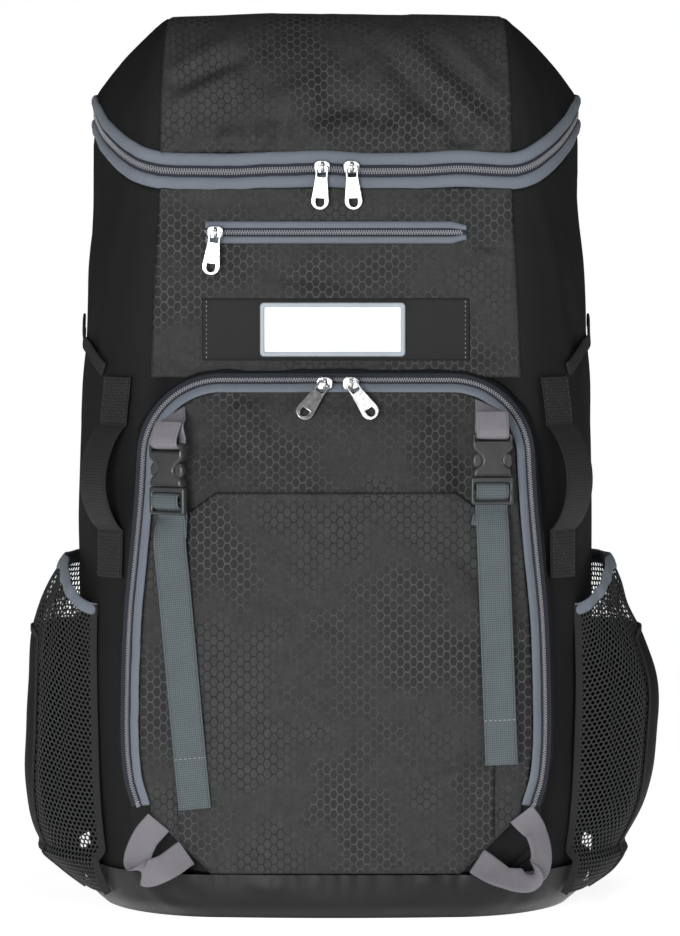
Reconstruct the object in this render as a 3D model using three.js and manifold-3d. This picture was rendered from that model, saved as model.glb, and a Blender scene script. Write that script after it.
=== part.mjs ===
// A baseball bat backpack, in millimetres. The front faces -Y, the back panel that lies on the wearer
// faces +Y, X is to the right as the front is seen and Z is up from the floor.
import * as THREE from "three";
import Module from "manifold-3d";
import { mergeVertices } from "three/addons/utils/BufferGeometryUtils.js";

const wasm = await Module();
wasm.setup();

// Driving sizes of the bag
const bagHeight = 557;
const bodyHalf = 162;
const bodyFront = 90;
const bodyBack = 100;
const widestDepth = 15;
const frontBow = 4;
const clothWall = 2;
const skinWall = 1;
const seamGap = 0.3;

// The body's level sections, each length a share of bagHeight, bodyHalf, bodyFront or bodyBack.
// seam is the edge of the front panel, half the widest line, rear the edge of the back panel.
const bodyRows = [
  { height: 0.0, seam: 0.62, half: 0.86, front: 0.86, back: 0.9, rear: 0.62 },
  { height: 0.02, seam: 0.66, half: 0.93, front: 0.94, back: 0.97, rear: 0.68 },
  { height: 0.08, seam: 0.69, half: 0.97, front: 0.98, back: 1.0, rear: 0.72 },
  { height: 0.2, seam: 0.705, half: 0.99, front: 1.0, back: 1.0, rear: 0.74 },
  { height: 0.4, seam: 0.71, half: 1.0, front: 1.0, back: 1.0, rear: 0.75 },
  { height: 0.52, seam: 0.71, half: 0.995, front: 0.99, back: 1.0, rear: 0.75 },
  { height: 0.62, seam: 0.7, half: 0.975, front: 0.98, back: 1.0, rear: 0.75 },
  { height: 0.72, seam: 0.685, half: 0.965, front: 0.97, back: 1.0, rear: 0.74 },
  { height: 0.8, seam: 0.67, half: 0.945, front: 0.95, back: 1.0, rear: 0.73 },
  { height: 0.93, seam: 0.665, half: 0.93, front: 0.93, back: 0.97, rear: 0.72 },
];

// Where the ring round the bag turns, as shares of the way from front centre to back centre
const seamAt = 0.2;
const widestAt = 0.5;
const rearAt = 0.8;

// The lid zip: its height at the front and at the sides, the width of the whole band, where it ends
const zipFrontHeight = 459;
const zipSideHeight = 495;
const zipBand = 21;
const zipCoil = 8;
const zipEndAt = 0.8;
const zipProud = 1.2;
const hingeHeight = 532;
const hingeAt = 0.88;

// The crown of the lid, a flat top smaller than the bag
const crownHeight = 553;
const crownRise = 4;
const crownHalf = 106;
const crownSeam = 103;
const crownFront = 38;
const crownBack = 82;
const crownRear = 88;
const crownWidestDepth = 20;

// The base boot of coated cloth under the bag
const bootHeight = 28;
const bootWall = 1.5;
const bootFront = 112;
const bootSeam = 78;
const bootEase = 4;
const bootGap = 0.8;

// The front compartment, its face and the slip pocket on it
const compartmentTop = 331;
const compartmentDepth = 124;
const compartmentMargin = 6;
const compartmentDrop = 5;
const faceGap = 0.9;
const uZipTop = 329;
const uZipHalf = 126;
const uZipCorner = 46;
const uZipBand = 10.5;
const uZipFoot = 70;
const chamferFoot = 77;
const slipTop = 263;
const slipHalf = 97;
const slipTopHalf = 73;
const slipChamfer = 17;
const slipProud = 1.6;

// How deep the compartment's face stands, by height: shares of compartmentTop, compartmentDepth
const faceRows = [
  { height: 0.08, edge: 0.85, crown: 0.04 },
  { height: 0.14, edge: 0.86, crown: 0.07 },
  { height: 0.25, edge: 0.865, crown: 0.11 },
  { height: 0.45, edge: 0.86, crown: 0.14 },
  { height: 0.7, edge: 0.855, crown: 0.12 },
  { height: 0.85, edge: 0.84, crown: 0.08 },
  { height: 0.94, edge: 0.815, crown: 0.04 },
  { height: 1.0, edge: 0.775, crown: 0.02 },
];

// Half width of the U zip's centre line and of the compartment's edge, shares of uZipHalf
const uZipRows = [
  { height: 0.08, half: 0.9 },
  { height: 0.21, half: 0.945 },
  { height: 0.26, half: 0.982 },
  { height: 0.33, half: 1.0 },
  { height: 0.45, half: 0.998 },
  { height: 0.57, half: 0.985 },
  { height: 0.69, half: 0.955 },
  { height: 0.8, half: 0.93 },
  { height: 1.0, half: 0.905 },
];

// Webbing and the buckles on the compartment: each strap's sewn top, its buckle's top, middle, turn
// to the side and stand off the face, and where its hanging tail ends
const webbing = 20;
const webbingWall = 1.6;
const buckleWidth = 25;
const buckleLength = 43;
const buckleWall = 7;
const ladderLength = 17;
const ladderWall = 4;
const buckleSlot = 4.5;
const buckleBar = 3;
const buckleWaist = 3.2;
const ladderBar = 4;
const ladderSlot = 4.5;
const frontStraps = [
  { name: "left", side: -1, webTop: 312, top: 293, at: 102, tailFoot: 70, tailAt: 86, turn: 0.6, off: 10 },
  { name: "right", side: 1, webTop: 318, top: 299, at: 95, tailFoot: 97, tailAt: 101, turn: 0.08, off: 6.5 },
];

// The corner loops: where along the chamfer's seam each end is sewn, how far the loop reaches from
// the seam, how far it lifts forward and how much its width turns to the front
const cornerLoops = [
  { name: "left", side: -1, start: 0.24, end: 0.66, reach: 27, lift: 7.5, lean: 0.2 },
  { name: "right", side: 1, start: 0.12, end: 0.78, reach: 30, lift: 14, lean: 0.45 },
];

// The zip sliders with their hoops and pull tabs
const sliderLength = 10;
const sliderWidth = 8;
const sliderWall = 3;
const hoopInner = 2;
const hoopWire = 1.2;
const hoopWidth = 1.4;
const pullLength = 27;
const pullWidth = 11;
const pullNeck = 7.6;
const pullCorner = 1;
const pullShoulder = 2;
const pullWall = 1.4;
const pullBar = 1.6;
const pullEye = 5.4;
const pullEyeHalf = 2.6;
const pullWindowHalf = 2.6;
const pullTilt = 0.22;

// The slit pocket's zip, the label patch and the bare label plate on the upper front
const slitHalf = 80;
const slitHeight = 421;
const slitTape = 13;
const slitCoil = 6;
const slitMargin = 3;
const slitCoilWall = 1.2;
const patchHalf = 82;
const patchHeight = 361.5;
const patchTall = 38;
const labelMiddle = -2;
const labelHalf = 44.5;
const labelTall = 33;
const labelFrame = 3;
const labelWall = 1.6;

// The bat loops on the sides
const loopWidth = 26;
const loopTop = 332;
const loopFoot = 208;
const loopPatch = 30;
const loopBow = 15;
const loopTopAround = 0.288;
const loopFootAround = 0.302;

// The side pockets: coarse net in front and above, closed cloth outside
const pocketFoot = 10;
const pocketFrontRim = 190;
const pocketRearRim = 216;
const pocketFrontDepth = -58;
const pocketRearDepth = 72;
const pocketBulge = 40;
const netWall = 1.2;
const netCord = 0.24;
const netColumns = 8;
const pouchFrom = 0.375;
const pocketEdgeTurn = 0.9;
const pouchTop = 0.78;
const pouchInset = 0.006;
const pouchWall = 1.7;
const rimBinding = 7;
const bindingWall = 1.4;

// How far each pocket bulges from the body, by height as a share of pocketRearRim
const pocketRows = [
  { height: 0.045, left: 0.05, right: 0.08 },
  { height: 0.1, left: 0.38, right: 0.42 },
  { height: 0.17, left: 0.75, right: 0.62 },
  { height: 0.3, left: 0.88, right: 0.9 },
  { height: 0.5, left: 0.82, right: 1.0 },
  { height: 0.64, left: 0.78, right: 1.0 },
  { height: 0.77, left: 0.72, right: 0.75 },
  { height: 0.86, left: 0.58, right: 0.5 },
  { height: 0.93, left: 0.42, right: 0.4 },
  { height: 1.0, left: 0.2, right: 0.25 },
];

// The slanted pocket edge high on each side
const lipWidth = 9;
const lipHigh = 365;
const lipLow = 336;
const lipFrom = 0.33;
const lipTo = 0.5;

// The back: padded panel, shoulder straps, their lower webbing and the haul loop
const backPad = 12;
const backPadFoot = 34;
const backPadTop = 500;
const backPadHalf = 106;
const backPadWaist = 0.1;
const backPadRim = 0.35;
const strapWidth = 62;
const strapWall = 12;
const adjusterLength = 26;
const adjusterWall = 4;
const adjusterCheek = 3.5;
const adjusterSlots = [
  { head: -4, foot: -9 },
  { head: -13, foot: -21 },
];
const lowFootAround = 0.85;
const haulHalf = 48;
const haulBow = 26;
const haulHeight = 517;

// Each shoulder strap's run: shares of backPadTop, of strapSpread and of strapStand
const strapSpread = 118;
const strapStand = 62;
const strapRows = [
  { height: 0.975, across: 0.42, stand: -0.02 },
  { height: 0.95, across: 0.43, stand: 0.02 },
  { height: 0.9, across: 0.47, stand: 0.45 },
  { height: 0.84, across: 0.52, stand: 0.78 },
  { height: 0.76, across: 0.6, stand: 0.98 },
  { height: 0.64, across: 0.72, stand: 1.0 },
  { height: 0.52, across: 0.82, stand: 0.88 },
  { height: 0.42, across: 0.9, stand: 0.68 },
];

// The materials
const finishes = {
  plain: { color: 0x1c1d1f, roughness: 0.85 },
  honeycomb: { color: 0x2b2b2b, roughness: 0.7 },
  coated: { color: 0x141414, roughness: 0.35 },
  tape: { color: 0x6b7480, roughness: 0.8 },
  coil: { color: 0x4c535e, roughness: 0.6 },
  webbing: { color: 0x5a6466, roughness: 0.85 },
  paleWebbing: { color: 0x7d7a80, roughness: 0.8 },
  blackWebbing: { color: 0x1a1a1b, roughness: 0.9 },
  buckle: { color: 0x333336, roughness: 0.45 },
  metal: { color: 0x9c9ca0, roughness: 0.3, metalness: 0.9 },
  label: { color: 0xe6e7ea, roughness: 0.55 },
  labelEdge: { color: 0x9aa1ab, roughness: 0.6 },
  net: { color: 0x202122, roughness: 0.9 },
};

const bag = new THREE.Group();

function addPiece(name, geometry, finish, parent = bag) {
  geometry.computeVertexNormals();
  const material = new THREE.MeshStandardMaterial(finishes[finish]);
  const mesh = new THREE.Mesh(geometry, material);
  mesh.name = name;
  parent.add(mesh);
  return mesh;
}

// Curves through tables, and even steps

function steps(from, to, count) {
  return Array.from({ length: count + 1 }, (_, index) => from + ((to - from) * index) / count);
}

function blend(from, to, share) {
  return from + (to - from) * share;
}

function ease(share) {
  const kept = Math.min(Math.max(share, 0), 1);
  return kept * kept * (3 - 2 * kept);
}

// A smooth curve through a table's rows, which may run up or down in height
function readTable(rows, column, height) {
  const down = rows[0].height > rows[rows.length - 1].height;
  const list = down ? [...rows].reverse() : rows;
  if (height <= list[0].height) return list[0][column];
  if (height >= list[list.length - 1].height) return list[list.length - 1][column];
  const index = list.findIndex((row) => row.height > height) - 1;
  const slope = (at) => {
    const before = list[Math.max(at - 1, 0)];
    const after = list[Math.min(at + 1, list.length - 1)];
    return (after[column] - before[column]) / (after.height - before.height);
  };
  const span = list[index + 1].height - list[index].height;
  const share = (height - list[index].height) / span;
  const cube = share * share * share;
  const square = share * share;
  return (2 * cube - 3 * square + 1) * list[index][column]
    + (cube - 2 * square + share) * span * slope(index)
    + (3 * square - 2 * cube) * list[index + 1][column]
    + (cube - square) * span * slope(index + 1);
}

// Closed walls between two faces

// A wall between two faces on one grid of (across, along) steps. Each face is a function of the two
// steps. ring joins the first and last column, pole closes the last row to one point, present says
// which cells are there, and hole is the share of each cell's edge that its net cord takes.
function makeWall(outer, inner, across, along, options = {}) {
  const { ring = false, pole = false, present = () => true, hole = () => 0 } = options;
  const columns = ring ? across.length - 1 : across.length;
  const points = [];
  const faces = [];
  const known = new Map();
  const vertex = (face, column, row) => {
    const turned = ring ? column % columns : column;
    const ended = pole && row === along.length - 1;
    const key = `${face}:${ended ? "end" : turned}:${row}`;
    if (!known.has(key)) {
      const shape = face ? inner : outer;
      known.set(key, points.length);
      points.push(shape(across[ended ? 0 : turned], along[row]));
    }
    return known.get(key);
  };
  const quad = (a, b, c, d) => {
    if (a !== b && b !== c && a !== c) faces.push(a, b, c);
    if (a !== c && c !== d && a !== d) faces.push(a, c, d);
  };
  const isThere = (column, row) => {
    if (row < 0 || row >= along.length - 1) return false;
    if (ring) return present((column + columns) % columns, row);
    return column >= 0 && column < across.length - 1 && present(column, row);
  };
  for (let column = 0; column < across.length - 1; column += 1) {
    for (let row = 0; row < along.length - 1; row += 1) {
      if (!isThere(column, row)) continue;
      const corners = [[column, row], [column + 1, row], [column + 1, row + 1], [column, row + 1]];
      const front = corners.map(([c, r]) => vertex(0, c, r));
      const rear = corners.map(([c, r]) => vertex(1, c, r));
      const cord = hole(column, row);
      if (cord > 0) {
        const spots = [[cord, cord], [1 - cord, cord], [1 - cord, 1 - cord], [cord, 1 - cord]];
        const eye = spots.map(([c, r]) => {
          const u = blend(across[column], across[column + 1], c);
          const v = blend(along[row], along[row + 1], r);
          points.push(outer(u, v), inner(u, v));
          return points.length - 2;
        });
        for (let edge = 0; edge < 4; edge += 1) {
          const next = (edge + 1) % 4;
          quad(front[edge], front[next], eye[next], eye[edge]);
          quad(rear[edge], eye[edge] + 1, eye[next] + 1, rear[next]);
          quad(eye[edge], eye[next], eye[next] + 1, eye[edge] + 1);
        }
      } else {
        quad(front[0], front[1], front[2], front[3]);
        quad(rear[0], rear[3], rear[2], rear[1]);
      }
      const beside = [[column, row - 1], [column + 1, row], [column, row + 1], [column - 1, row]];
      beside.forEach(([c, r], edge) => {
        const closed = pole && row === along.length - 2 && edge === 2;
        if (closed || isThere(c, r)) return;
        const next = (edge + 1) % 4;
        quad(front[next], front[edge], rear[edge], rear[next]);
      });
    }
  }
  return closedGeometry(points, faces);
}

// Puts points and faces into a geometry, with its faces turned to point out
function closedGeometry(points, faces) {
  let volume = 0;
  for (let index = 0; index < faces.length; index += 3) {
    const [a, b, c] = [points[faces[index]], points[faces[index + 1]], points[faces[index + 2]]];
    volume += a.dot(new THREE.Vector3().crossVectors(b, c));
  }
  const turned = volume < 0 ? faces.slice().reverse() : faces;
  const geometry = new THREE.BufferGeometry();
  const places = new Float32Array(points.flatMap((point) => [point.x, point.y, point.z]));
  geometry.setAttribute("position", new THREE.BufferAttribute(places, 3));
  geometry.setIndex(turned);
  return geometry;
}

// The same surface moved out by a distance along its normal. facing is 1 where the normal of
// (across, along) points out of the bag, and -1 where it points in. The move is level at along 0
// and follows the true normal from levelUntil on.
function moved(surface, facing, distance, levelUntil = 0) {
  const reach = 0.004;
  return (u, v) => {
    const place = surface(u, v);
    const [u0, u1] = [u - reach, u + reach];
    const [v0, v1] = [Math.max(v - reach, 0.001), Math.min(v + reach, 0.999)];
    const across = surface(u1, (v0 + v1) / 2).sub(surface(u0, (v0 + v1) / 2));
    const along = surface(u, v1).sub(surface(u, v0));
    const normal = new THREE.Vector3().crossVectors(across, along).normalize();
    if (levelUntil > 0) normal.z *= Math.min(v / levelUntil, 1);
    return place.addScaledVector(normal.normalize(), facing * distance);
  };
}

function makeSkin(surface, facing, near, far, across, along, options = {}) {
  const outer = moved(surface, facing, far, options.levelUntil);
  const inner = moved(surface, facing, near, options.levelUntil);
  return makeWall(outer, inner, across, along, options);
}

// A flat strap that follows a run of frames, each with a place, its across and its out direction
function makeStrap(frameAt, width, wall, stepCount, options = {}) {
  const across = options.across ?? [0, 1];
  const crown = options.crown ?? 0;
  const face = (depth) => (u, v) => {
    const frame = frameAt(v);
    const swell = depth * (1 - crown * (2 * u - 1) ** 2);
    return frame.place.clone()
      .addScaledVector(frame.across, (u - 0.5) * width)
      .addScaledVector(frame.out, swell);
  };
  return makeWall(face(wall / 2), face(-wall / 2), across, steps(0, 1, stepCount));
}

// A smooth run through a few places, with the strap's across direction at each
function runThrough(places, acrossList) {
  const curve = new THREE.CatmullRomCurve3(places, false, "centripetal");
  return (v) => {
    const kept = Math.min(Math.max(v, 0), 1);
    const place = curve.getPoint(kept);
    const tangent = curve.getTangent(kept);
    const scaled = kept * (acrossList.length - 1);
    const index = Math.min(Math.floor(scaled), acrossList.length - 2);
    const across = acrossList[index].clone().lerp(acrossList[index + 1], scaled - index);
    const out = new THREE.Vector3().crossVectors(tangent, across).normalize();
    across.crossVectors(out, tangent).normalize();
    return { place, across, out };
  };
}

function toSolid(geometry) {
  const bare = geometry.index ? geometry.clone() : geometry;
  bare.deleteAttribute("normal");
  bare.deleteAttribute("uv");
  const merged = mergeVertices(bare, 1e-4);
  const mesh = new wasm.Mesh({
    numProp: 3,
    vertProperties: new Float32Array(merged.attributes.position.array),
    triVerts: new Uint32Array(merged.index.array),
  });
  return new wasm.Manifold(mesh);
}

function toGeometry(solid) {
  const mesh = solid.getMesh();
  const geometry = new THREE.BufferGeometry();
  geometry.setAttribute("position", new THREE.BufferAttribute(mesh.vertProperties, 3));
  geometry.setIndex(Array.from(mesh.triVerts));
  return geometry;
}

// A flat outline in the XZ plane with holes, its thickness centred on Y = 0
function makePlate(outline, holes, thickness) {
  const shape = new THREE.Shape(outline);
  shape.holes = holes.map((hole) => new THREE.Path(hole));
  const geometry = new THREE.ExtrudeGeometry(shape, { depth: thickness, bevelEnabled: false });
  geometry.translate(0, 0, -thickness / 2);
  geometry.rotateX(Math.PI / 2);
  return geometry;
}

function box2(x0, z0, x1, z1) {
  return [[x0, z0], [x1, z0], [x1, z1], [x0, z1]].map(([x, z]) => new THREE.Vector2(x, z));
}

// The body's ring

// The level section of the body at a height
function bodyForm(z) {
  const height = z / bagHeight;
  return {
    seam: readTable(bodyRows, "seam", height) * bodyHalf,
    half: readTable(bodyRows, "half", height) * bodyHalf,
    front: readTable(bodyRows, "front", height) * bodyFront,
    back: readTable(bodyRows, "back", height) * bodyBack,
    rear: readTable(bodyRows, "rear", height) * bodyHalf,
    widest: widestDepth,
  };
}

// A place on a ring: 0 at the front centre, 1 or -1 at the back centre. The front is a shallow bow,
// the sides are quarter ellipses to the widest line and on to the back panel, which is flat.
function ringPoint(around, form) {
  const side = around < 0 ? -1 : 1;
  const way = Math.min(Math.abs(around), 1);
  if (way <= seamAt) {
    const share = way / seamAt;
    return new THREE.Vector2(side * form.seam * share, -form.front + frontBow * share * share);
  }
  if (way <= widestAt) {
    const angle = ((way - seamAt) / (widestAt - seamAt)) * (Math.PI / 2);
    const x = form.seam + (form.half - form.seam) * Math.sin(angle);
    const y = form.widest - (form.widest + form.front - frontBow) * Math.cos(angle);
    return new THREE.Vector2(side * x, y);
  }
  if (way <= rearAt) {
    const angle = ((way - widestAt) / (rearAt - widestAt)) * (Math.PI / 2);
    const x = form.rear + (form.half - form.rear) * Math.cos(angle) ** 0.8;
    const y = form.widest + (form.back - form.widest) * Math.sin(angle) ** 0.8;
    return new THREE.Vector2(side * x, y);
  }
  const share = (way - rearAt) / (1 - rearAt);
  return new THREE.Vector2(side * form.rear * (1 - share), form.back);
}

// The body's front at (x, z), and its side at (y, z)
function bodyFrontAt(x, z) {
  const form = bodyForm(z);
  const reach = Math.abs(x);
  if (reach <= form.seam) return -form.front + frontBow * (reach / form.seam) ** 2;
  const sine = Math.min((reach - form.seam) / (form.half - form.seam), 1);
  return form.widest - (form.widest + form.front - frontBow) * Math.sqrt(1 - sine * sine);
}

function bodySideAt(y, z) {
  const form = bodyForm(z);
  if (y <= form.widest) {
    const cosine = Math.min((form.widest - y) / (form.widest + form.front - frontBow), 1);
    return form.seam + (form.half - form.seam) * Math.sqrt(1 - cosine * cosine);
  }
  const sine = Math.min((y - form.widest) / (form.back - form.widest), 1) ** 1.25;
  return form.rear + (form.half - form.rear) * Math.sqrt(1 - sine * sine) ** 0.8;
}

// The height of the lid zip's centre line round the bag, and behind its ends of the lid's hinge seam
function zipHeight(around) {
  const way = Math.abs(around);
  const side = blend(zipFrontHeight, zipSideHeight, ease((way - seamAt) / (widestAt - seamAt)));
  return blend(side, hingeHeight, ease((way - zipEndAt) / (hingeAt - zipEndAt)));
}

// A place on the body's outside at a height
function onBody(around, z) {
  const place = ringPoint(around, bodyForm(z));
  return new THREE.Vector3(place.x, place.y, z);
}

// The tub and the boot

const floorShare = 0.8;
const tubFloor = bootWall + bootGap;
const ringSteps = 30;
const tubAcross = steps(0, 1, ringSteps);
const tubAlong = [0, 0.13, 0.26, 0.4, 0.54, 0.66, 0.75, 0.785, 0.8, 1];

// The tub from its rim (along 0) down to the floor's edge and in to the floor's middle (along 1)
function tubSurface(across, along) {
  const around = across * 2 - 1;
  const rim = zipHeight(around) - zipBand / 2 - seamGap;
  if (along <= floorShare) return onBody(around, blend(rim, tubFloor, along / floorShare));
  const share = (along - floorShare) / (1 - floorShare);
  const edge = onBody(around, tubFloor);
  return new THREE.Vector3(edge.x * (1 - share), edge.y * (1 - share), tubFloor);
}

const tub = makeSkin(tubSurface, -1, -clothWall, 0, tubAcross, tubAlong, { ring: true, pole: true });
addPiece("body_shell", tub, "plain");

// The boot: a tray that holds the tub and reaches out in front under the compartment
function bootForm(z) {
  const form = bodyForm(z);
  const taper = form.front / bodyFront;
  return {
    ...form,
    seam: bootSeam * taper,
    half: form.half + bootEase,
    front: bootFront * taper,
  };
}

function bootSurface(across, along) {
  const around = across * 2 - 1;
  const height = along <= floorShare ? blend(bootHeight, tubFloor, along / floorShare) : tubFloor;
  const place = ringPoint(around, bootForm(height));
  const share = Math.max(along - floorShare, 0) / (1 - floorShare);
  return new THREE.Vector3(place.x * (1 - share), place.y * (1 - share), height);
}

const bootAlong = [0, 0.35, 0.6, 0.8, 1];
const boot = makeSkin(bootSurface, -1, bootGap, bootGap + bootWall, tubAcross, bootAlong, {
  ring: true,
  pole: true,
});
addPiece("base_boot", boot, "coated");

// The honeycomb cloth on the upper front
const panelFoot = compartmentTop + 4;
function frontPanelSurface(across, along) {
  const around = (across * 2 - 1) * seamAt;
  const rim = zipHeight(around) - zipBand / 2 - seamGap;
  return onBody(around, blend(panelFoot, rim, along));
}
const panelFace = seamGap + skinWall;
const frontPanel = makeSkin(frontPanelSurface, 1, seamGap, panelFace, steps(0, 1, 6), steps(0, 1, 3));
addPiece("front_panel", frontPanel, "honeycomb");

// The lid and its zip

const lidAcross = tubAcross;
const lidAlong = [0, 0.14, 0.28, 0.42, 0.56, 0.7, 0.85, 1];
const crownShare = 0.7;
const lidRimLevel = 0.14;

function crownForm() {
  return {
    seam: crownSeam,
    half: crownHalf,
    front: crownFront,
    back: crownBack,
    rear: crownRear,
    widest: crownWidestDepth,
  };
}

// How far the lid's wall bulges between a straight slope (0) and a full quarter round (1)
function lidBulge(around) {
  const way = Math.abs(around);
  if (way <= widestAt) return blend(0.95, 0.25, ease((way - seamAt) / (widestAt - seamAt)));
  return blend(0.25, 1, ease((way - widestAt) / (rearAt - widestAt)));
}

function lidRim(around) {
  const above = zipHeight(around) + zipBand / 2 + seamGap;
  return Math.abs(around) <= zipEndAt + 0.01 ? above : above - zipBand - seamGap;
}

function lidSurface(across, along) {
  const around = across * 2 - 1;
  const rimHeight = lidRim(around);
  const foot = onBody(around, rimHeight);
  const crown = ringPoint(around, crownForm());
  const share = Math.min(along / crownShare, 1);
  const bulge = lidBulge(around);
  const inward = blend(share, 1 - Math.cos((share * Math.PI) / 2), bulge);
  const upward = blend(share, Math.sin((share * Math.PI) / 2), bulge);
  const x = blend(foot.x, crown.x, inward);
  const y = blend(foot.y, crown.y, inward);
  const z = blend(rimHeight, crownHeight, upward);
  if (along <= crownShare) return new THREE.Vector3(x, y, z);
  const top = (along - crownShare) / (1 - crownShare);
  const rise = crownRise * Math.sin((top * Math.PI) / 2);
  return new THREE.Vector3(x * (1 - top), blend(y, crownWidestDepth, top), z + rise);
}

const lid = makeSkin(lidSurface, 1, -clothWall, 0, lidAcross, lidAlong, {
  ring: true,
  pole: true,
  levelUntil: lidRimLevel,
});
addPiece("lid_shell", lid, "plain");

const lidPanelAcross = lidAcross.filter((across) => Math.abs(across - 0.5) <= seamAt / 2 + 0.001);
const lidPanelAlong = lidAlong.slice(0, -1);
const lidPanel = makeSkin(lidSurface, 1, seamGap, seamGap + skinWall, lidPanelAcross, lidPanelAlong, {
  levelUntil: lidRimLevel,
});
addPiece("lid_front_panel", lidPanel, "honeycomb");

// The lid zip: two tapes with the coil between them, from one rear corner round to the other
function zipSurface(low, high) {
  return (across, along) => {
    const around = (across * 2 - 1) * zipEndAt;
    return onBody(around, zipHeight(around) + blend(low, high, along));
  };
}
const coilHalf = zipCoil / 2;
const bandHalf = zipBand / 2;
const tapeFrom = coilHalf + seamGap;
const zipStrips = [
  { name: "lid_zip_lower_tape", low: -bandHalf, high: -tapeFrom, proud: zipProud, finish: "tape" },
  { name: "lid_zip_coil", low: -coilHalf, high: coilHalf, proud: zipProud * 0.7, finish: "coil" },
  { name: "lid_zip_upper_tape", low: tapeFrom, high: bandHalf, proud: zipProud, finish: "tape" },
];
for (const strip of zipStrips) {
  const surface = zipSurface(strip.low, strip.high);
  const geometry = makeSkin(surface, 1, -clothWall, strip.proud, steps(0, 1, 24), [0, 1]);
  addPiece(strip.name, geometry, strip.finish);
}

// The front compartment

// Half width of the U zip's centre line at a height: a table up the side, then the corner's arc
function uZipHalfAt(z) {
  const bend = uZipTop - uZipCorner;
  const side = readTable(uZipRows, "half", z / uZipTop) * uZipHalf;
  if (z <= bend) return side;
  const corner = readTable(uZipRows, "half", bend / uZipTop) * uZipHalf;
  const rise = Math.min(z - bend, uZipCorner);
  return corner - uZipCorner + Math.sqrt(uZipCorner * uZipCorner - rise * rise);
}

// The chamfer cuts the face's lower corners from the zip's foot to the base
const chamferTopHalf = uZipHalfAt(uZipFoot);
function chamferHalfAt(z) {
  return blend(chamferFoot, chamferTopHalf, (z - bootHeight) / (uZipFoot - bootHeight));
}

// The depth of the compartment's face at (x, z): a crown across and cut back lower corners
function faceDepthAt(x, z) {
  const height = z / compartmentTop;
  const edge = readTable(faceRows, "edge", height) * compartmentDepth;
  const crown = readTable(faceRows, "crown", height) * compartmentDepth;
  const reach = Math.abs(x);
  const half = readTable(uZipRows, "half", z / uZipTop) * uZipHalf;
  const share = Math.min(reach / half, 1.05);
  const chamfered = z < uZipFoot ? Math.max(reach - chamferHalfAt(z), 0) * 0.75 : 0;
  return -(edge + crown * (1 - share ** 3) - chamfered);
}

function faceAt(x, z, off) {
  return new THREE.Vector3(x, faceDepthAt(x, z) - off, z);
}

// The U zip's centre line from the left foot over the top to the right foot
const uZipLine = (() => {
  const bend = uZipTop - uZipCorner;
  const side = steps(uZipFoot, bend, 7).map((z) => new THREE.Vector2(uZipHalfAt(z), z));
  const corner = steps(0, Math.PI / 2, 5).slice(1).map((angle) => {
    const z = bend + uZipCorner * Math.sin(angle);
    return new THREE.Vector2(uZipHalfAt(z), z);
  });
  const right = [...side, ...corner, new THREE.Vector2(uZipHalfAt(uZipTop) / 2, uZipTop)];
  const left = right.map((point) => new THREE.Vector2(-point.x, point.y));
  return [...left, new THREE.Vector2(0, uZipTop), ...right.reverse()];
})();

// The line moved sideways, outwards for a positive distance
function besideUZip(sideways) {
  const last = uZipLine.length - 1;
  return uZipLine.map((point, index) => {
    const before = uZipLine[Math.max(index - 1, 0)];
    const after = uZipLine[Math.min(index + 1, last)];
    const tangent = after.clone().sub(before).normalize();
    return new THREE.Vector2(point.x - tangent.y * sideways, point.y + tangent.x * sideways);
  });
}

// The compartment's outline seen from the front, beside the zip and round the foot
const cornerRows = [
  { height: 0.62, half: 1.0 },
  { height: 0.22, half: 0.98 },
  { height: 0.0, half: 0.88 },
];
function outlineBeside(sideways, inset) {
  const foot = bootHeight + seamGap + inset;
  const upper = besideUZip(sideways);
  const right = cornerRows.map((row) => {
    const half = (chamferTopHalf + sideways) * row.half;
    return new THREE.Vector2(half, blend(foot, uZipFoot, row.height));
  });
  right.push(new THREE.Vector2(chamferFoot * 0.6, foot));
  const left = right.map((point) => new THREE.Vector2(-point.x, point.y)).reverse();
  return [...upper, ...right, new THREE.Vector2(0, foot), ...left];
}

const outlineCount = outlineBeside(0, 0).length;
const zipInner = -uZipBand / 2 - seamGap;
const faceMiddle = 175;

// The tray's rows: the rear rim on the body, the face's edge, the line inside the zip, and the face
// in to its middle
function trayRow(row, inset) {
  const edge = outlineBeside(compartmentMargin - inset, inset);
  const inside = outlineBeside(zipInner, inset + clothWall);
  return (index) => {
    const spot = edge[index % outlineCount];
    const near = inside[index % outlineCount];
    const rear = bodyFrontAt(spot.x, spot.y) - seamGap - trayEase;
    if (row === 0) return new THREE.Vector3(spot.x, rear, spot.y);
    if (row === 1) {
      const side = faceAt(spot.x, spot.y, -compartmentDrop);
      side.y = Math.min(side.y, rear - trayLeast) + inset;
      return side;
    }
    const shrink = (row - 2) / (trayRows - 2);
    return faceAt(near.x * (1 - shrink), blend(near.y, faceMiddle, shrink), -inset);
  };
}

const trayEase = 0.2;
const trayLeast = clothWall + 0.6;
const trayRows = 5;
function traySurface(inset) {
  return (across, along) => {
    const row = Math.round(along * trayRows);
    return trayRow(row, inset)(Math.round(across * outlineCount));
  };
}

const trayAcross = steps(0, 1, outlineCount);
const trayAlong = steps(0, 1, trayRows);
const tray = makeWall(traySurface(0), traySurface(clothWall), trayAcross, trayAlong, {
  ring: true,
  pole: true,
});
addPiece("front_compartment", tray, "plain");

// Half width of the face inside the U zip at a height, on the same chords as the zip
const insideLine = besideUZip(zipInner).slice(uZipLine.length / 2 | 0);
function insideHalfAt(z) {
  const above = insideLine.findIndex((point) => point.y < z);
  if (above < 0) return insideLine[insideLine.length - 1].x;
  const [high, low] = [insideLine[Math.max(above - 1, 0)], insideLine[above]];
  return blend(low.x, high.x, (z - low.y) / (high.y - low.y));
}

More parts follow.
